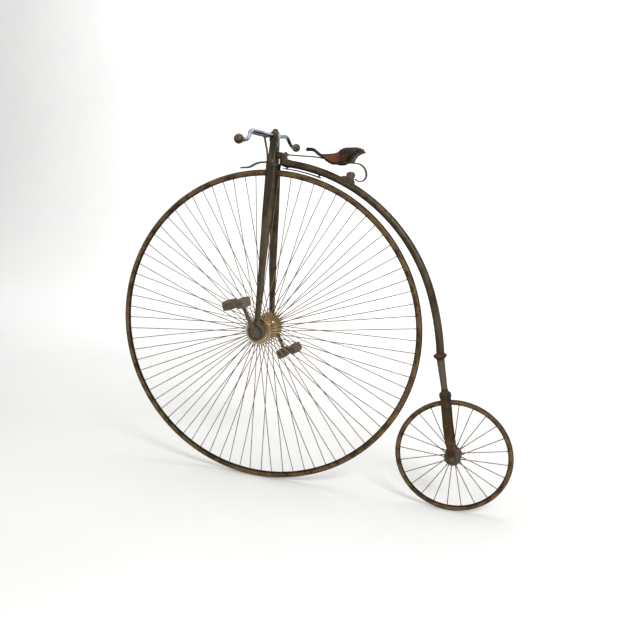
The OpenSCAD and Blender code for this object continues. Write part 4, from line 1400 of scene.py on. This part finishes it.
class BICYCLE_OT_saddle(bpy.types.Operator):
    """Builds the hide slung between the nose iron and the cantle, and its rivets"""
    bl_idname = "bicycle.saddle"
    bl_label = "Saddle"

    def execute(self, context):
        self.hide()
        self.irons()
        return {"FINISHED"}

    def hide(self):
        """A thick shell, its skirt rolled and its creases pressed by the rider."""
        rows, cols, thick = 84, 56, sizes().leather / MM
        points, faces = [], []
        for inside in (0, thick):
            for i in range(rows + 1):
                for j in range(cols + 1):
                    points.append(hide_point(SADDLE_END * i / rows, 2 * j / cols - 1, inside))
        wide, skin = cols + 1, (cols + 1) * (rows + 1)
        for i in range(rows):
            for j in range(cols):
                a = i * wide + j
                faces.append((a, a + 1, a + wide + 1, a + wide))
                faces.append((a + skin, a + wide + skin, a + wide + 1 + skin, a + 1 + skin))
        for j in range(cols):
            for a in (j, rows * wide + j):
                faces.append((a, a + 1, a + 1 + skin, a + skin))
        for i in range(rows):
            for a in (i * wide, i * wide + cols):
                faces.append((a, a + wide, a + wide + skin, a + skin))
        obj = bpy.data.objects.new("saddle_hide", make_mesh("saddle_hide", [(points, faces)]))
        bpy.context.scene.collection.objects.link(obj)

        def redness(vertex):
            inside, place = divmod(vertex.index, skin)
            row, column = divmod(place, wide)
            return 0.45 if inside else self.redness(SADDLE_END * row / rows, 2 * column / cols - 1)

        # The flank mark carries the hide's red and the painted shade on its rear flank.
        mark(obj, "flank", redness)
        edge = obj.modifiers.new("edge", "BEVEL")
        edge.width = 1.2 * MM
        edge.segments = 3
        edge.limit_method = "ANGLE"
        edge.angle_limit = math.radians(50)
        settle(obj)
        dress(obj, "frame", "saddle_hide", ["saddle_leather"], 60)
        places = []
        for start, curve, spread, count in ((SADDLE_END - 0.8, 2.6, 0.84, 7), (0.6, 0, 0.4, 2)):
            for k in range(count):
                t = spread * (2 * k / (count - 1) - 1)
                s = start - curve * t * t
                here = hide_point(s, t)
                lengthways = hide_point(s + 0.05, t) - hide_point(s - 0.05, t)
                across = hide_point(s, t + 0.02) - hide_point(s, t - 0.02)
                way = lengthways.cross(across)
                places.append((here, way if way.z > 0 else -way))
        rivets("saddle_rivets", "frame", places, sizes().rivet / MM, 0.38, "dark_iron")

    def redness(self, s, t):
        """How red the hide's outside is: its front flank, and a little of its rear one, which is
        kept dark as painted shade.
        """
        x, crown, _, skirt = saddle_row(s)
        below = (crown - skirt) * abs(t) ** SKIRT_CURVE
        above = crown - skirt - below
        # Painted shade: behind x = -280 the black reaches further down the flank and the red is
        # weaker.
        rear = min(1, max(0, (-280 - x) / 16))
        seat = min(1, max(0, (below - 4.5 - 17 * rear - 20 * min(1, max(0, (x + 204) / 12))) / 5))
        return seat * min(1, max(0, (above - 7 + 4 * rear) / 4)) * (1 - 0.55 * rear)

    def irons(self):
        """The nose iron and the cantle that the hide is riveted to."""
        nose = smooth_path([road(x, 0, z) for x, z in (
            (-142, 1399), (-158, 1401), (-174, 1398), (-188, 1387), (-202, 1379.6),
            (-216, 1375.9))], 8)
        stud = [(0, 1374), (5, 1374), (5, 1380), (3.4, 1382), (0, 1382.5)]
        piece("nose_iron", "frame", [sweep(nose, rounded_bar(4.2, 14, 1.6), Y),
                                     lathe(stud, road(-207, 0, 0), Z, 24)],
              "worn_nickel", ["saddle_nose_iron"], bevel=0.4)
        post = [(-324, 1361), (-337, 1361), (-338, 1374), (-340, 1382), (-352, 1394), (-366, 1400),
                (-366, 1405), (-354, 1406), (-345, 1401), (-334, 1393), (-328, 1382)]
        wing = []
        for k in range(33):
            t = 2 * k / 32 - 1
            base = hide_point(SADDLE_END - 2.0, t * 0.4, 7)
            wing.append([base + Vector((p, 0, q)) * MM
                         for p, q in ((-10, -3.2), (8, 0.4), (9, -2.4), (-9, -6.4))])
        piece("cantle_plate", "frame", [plate(post, -15, 15), loft(wing)], "dark_iron",
              ["saddle_cantle"], bevel=0.8)


class BICYCLE_OT_spring(bpy.types.Operator):
    """Builds the leaf spring, its front clip, and the roller and lug its curl bears on"""
    bl_idname = "bicycle.spring"
    bl_label = "Saddle spring"

    def execute(self, context):
        leaf = smooth_path([road(x, 0, z) for x, z in LEAF], 10)
        curl = (arc_points(-344, 1313, 45, 92, 180, 22)
                + arc_points(-364.5, 1313, 24.5, 180, 322, 24)[1:])
        path = leaf + [road(x, 0, z) for x, z in curl]
        strip = sweep(path, rounded_bar(5.4, 26, 1.8), Y,
                      lambda t: (1 - 0.3 * max(0, t - 0.75) / 0.25,
                                 1 - 0.25 * max(0, t - 0.7) / 0.3))
        piece("leaf_spring", "frame", [strip], "dark_iron", ["saddle_spring"],
              bevel=0.3)
        clip = plate([(-64, 1376), (-46.5, 1378), (-46.5, 1386.5), (-52, 1387.5), (-64, 1385.5)],
                     -15, 15)
        parts = [clip]
        for y in (-8, 8):
            parts += nut(road(-55, y, 1386.5), Z, 8, 4, 0.2 * y)
        piece("spring_clip", "frame", parts, "dark_iron", bevel=0.7)
        centre = road(-327, 0, 1311)
        roller = [(0, -11), (12, -11), (14, -9.5), (13, -4), (12.4, 0), (13, 4), (14, 9.5),
                  (12, 11), (0, 11)]
        head = [(0, 18.3), (13.6, 18.3), (14.2, 19.2), (14.2, 20.6), (13.2, 21.8), (9, 22.4),
                (8.4, 23.4), (5, 24), (0, 24)]
        parts = [lathe(roller, centre, Y, 48), lathe(disc(5, -19, 19), centre, Y, 24)]
        parts += [lathe(head, centre, Y * side, 48) for side in (1, -1)]
        piece("roller_and_pin", "frame", parts, "dark_iron", ["spring_roller"],
              bevel=0.5)
        lug = [(-286, 1299), (-292, 1305), (-300, 1309), (-308, 1307), (-313, 1303), (-319, 1310),
               (-322, 1317), (-327, 1319), (-332, 1317), (-335, 1310), (-337, 1296), (-342, 1284),
               (-340, 1273), (-318, 1283)]
        piece("roller_bracket", "frame", [plate(lug, 12, 18), plate(lug, -18, -12)],
              "olive_enamel", ["roller_lug"], bevel=1.2)
        return {"FINISHED"}


STRIP_RADIUS = 667.5
STRIP_FROM, STRIP_TO = 94.2, 108.0


class BICYCLE_OT_mud_strip(bpy.types.Operator):
    """Builds the short strip under the saddle that keeps mud off the rider"""
    bl_idname = "bicycle.mud_strip"
    bl_label = "Mud strip"

    def execute(self, context):
        arc = arc_points(0, HUB_Z, STRIP_RADIUS, STRIP_FROM, STRIP_TO, 40)
        outline = [(1.9, -13), (2.5, -12), (1.9, -10.5), (1.9, 10.5), (2.5, 12), (1.9, 13),
                   (-1.9, 13), (-1.9, -13)]
        strip = sweep([road(x, 0, z) for x, z in arc], outline, Y)
        parts = [strip]
        for angle in (95.4, 107.2):
            a = math.radians(angle)
            way = Vector((math.cos(a), 0, math.sin(a)))
            foot = road(0, 0, HUB_Z) + way * (STRIP_RADIUS - 0.5) * MM
            parts.append(lathe([(0, 0), (5, 0), (5, 2), (4, 2.8), (4, 15), (0, 15)], foot, way, 28))
            parts.append(lathe([(0, -2.4), (2, -2.4), (3, -1.6), (3, 0), (0, 0)], foot, way, 20))
        piece("mud_strip_sheet", "frame", parts, "dark_iron", ["mud_strip"])
        return {"FINISHED"}


# ---------------------------------------------------------------- stage

CAMERA_AT = Vector((-0.71367, 3.03263, -0.09617))
CAMERA_RIGHT = Vector((-0.94073444, -0.33609863, 0.04534785))
CAMERA_UP = Vector((0.10538413, -0.16260128, 0.98104791))
CAMERA_LOOK = Vector((0.32235525, -0.9276845, -0.18838409))


def softbox(name, at, aim, width, height, power, tint):
    """A rectangular studio light aimed at a point."""
    light = bpy.data.lights.new(name, "AREA")
    light.shape = "RECTANGLE"
    light.size = width
    light.size_y = height
    light.energy = power
    light.color = tint
    lamp = bpy.data.objects.new(name, light)
    lamp.location = at
    lamp.rotation_euler = (Vector(aim) - Vector(at)).to_track_quat("-Z", "Y").to_euler()
    bpy.context.scene.collection.objects.link(lamp)
    return lamp


class BICYCLE_OT_stage(bpy.types.Operator):
    """Sets the pale floor, the studio lights and the camera"""
    bl_idname = "bicycle.stage"
    bl_label = "Stage"

    def execute(self, context):
        self.floor()
        self.lights()
        camera = bpy.data.objects.new("camera", bpy.data.cameras.new("camera"))
        turn = Matrix((CAMERA_RIGHT, CAMERA_UP, -CAMERA_LOOK)).transposed()
        camera.matrix_world = Matrix.Translation(CAMERA_AT) @ turn.to_4x4()
        camera.data.lens = 43.18
        camera.data.sensor_width = 36
        camera.data.shift_x = 0.109375
        context.scene.collection.objects.link(camera)
        context.scene.camera = camera
        context.scene.view_settings.view_transform = "Standard"
        return {"FINISHED"}

    def floor(self):
        """A matt white sheet that curves up behind the bicycle."""
        rows = [(6.0 - k * 1.2, 0.0) for k in range(9)]
        for k in range(1, 13):
            a = math.radians(90 * k / 12)
            rows.append((-3.6 - 2.4 * math.sin(a), 2.4 * (1 - math.cos(a))))
        rows.append((-6.0, 8.0))
        points = [(x, y, ROAD + z) for y, z in rows for x in (-12, 12)]
        faces = [(2 * k, 2 * k + 1, 2 * k + 3, 2 * k + 2) for k in range(len(rows) - 1)]
        sheet = bpy.data.objects.new("floor", make_mesh("floor", [(points, faces)]))
        bpy.context.scene.collection.objects.link(sheet)
        sheet.data.shade_smooth()
        material, tree, coords = new_finish("studio_paper")
        coat, cloud = patches(tree, coords, rgba(colours().floor), (0.9, 0.9, 0.9), 900, 0.4, 0.9)
        close_finish(material, tree, coords, {"Base Color": coat}, (cloud, 0.85, 0.9), 3, 0.05)
        sheet.data.materials.append(material)

    def lights(self):
        world = bpy.data.worlds.new("studio")
        world.use_nodes = True
        sky = world.node_tree.nodes["Background"].inputs
        sky["Color"].default_value = (1, 1, 1, 1)
        sky["Strength"].default_value = 0.4
        bpy.context.scene.world = world
        middle = (0, 0, -0.5)
        softbox("key", (-2.2, 3.2, 2.0), middle, 1.5, 1.2, 135, (1, 0.99, 0.97))
        softbox("fill", (2.8, 3.0, 0.6), middle, 2.2, 2.2, 10, (0.96, 0.98, 1))
        softbox("top", (0.3, -0.4, 2.8), middle, 3.0, 2.0, 48, (1, 1, 1))
        softbox("wall", (0.0, -2.4, 3.0), (0, -6.4, 1.0), 9.0, 2.4, 240, (1, 1, 1))


# ---------------------------------------------------------------- add-on

OPERATORS = (BICYCLE_OT_backbone, BICYCLE_OT_steering, BICYCLE_OT_bearings, BICYCLE_OT_handlebar,
             BICYCLE_OT_brake, BICYCLE_OT_wheels, BICYCLE_OT_cranks, BICYCLE_OT_pedals,
             BICYCLE_OT_rear_fork, BICYCLE_OT_saddle, BICYCLE_OT_spring, BICYCLE_OT_mud_strip,
             BICYCLE_OT_stage)


class BICYCLE_PT_panel(bpy.types.Panel):
    """Lists the bicycle's pieces and settings"""
    bl_idname = "BICYCLE_PT_panel"
    bl_label = "Penny farthing"
    bl_space_type = "VIEW_3D"
    bl_region_type = "UI"
    bl_category = "Bicycle"

    def draw(self, context):
        for operator in OPERATORS:
            self.layout.operator(operator.bl_idname)
        for group in (context.scene.bicycle_colours, context.scene.bicycle_sizes):
            column = self.layout.column()
            for setting in group.__annotations__:
                column.prop(group, setting)


CLASSES = (BicycleColours, BicycleSizes) + OPERATORS + (BICYCLE_PT_panel,)


def register():
    for kind in CLASSES:
        bpy.utils.register_class(kind)
    bpy.types.Scene.bicycle_colours = bpy.props.PointerProperty(type=BicycleColours)
    bpy.types.Scene.bicycle_sizes = bpy.props.PointerProperty(type=BicycleSizes)


def unregister():
    del bpy.types.Scene.bicycle_sizes
    del bpy.types.Scene.bicycle_colours
    for kind in reversed(CLASSES):
        bpy.utils.unregister_class(kind)


def main():
    register()
    for operator in OPERATORS:
        group, name = operator.bl_idname.split(".")
        getattr(getattr(bpy.ops, group), name)()


if __name__ == "__main__":
    main()
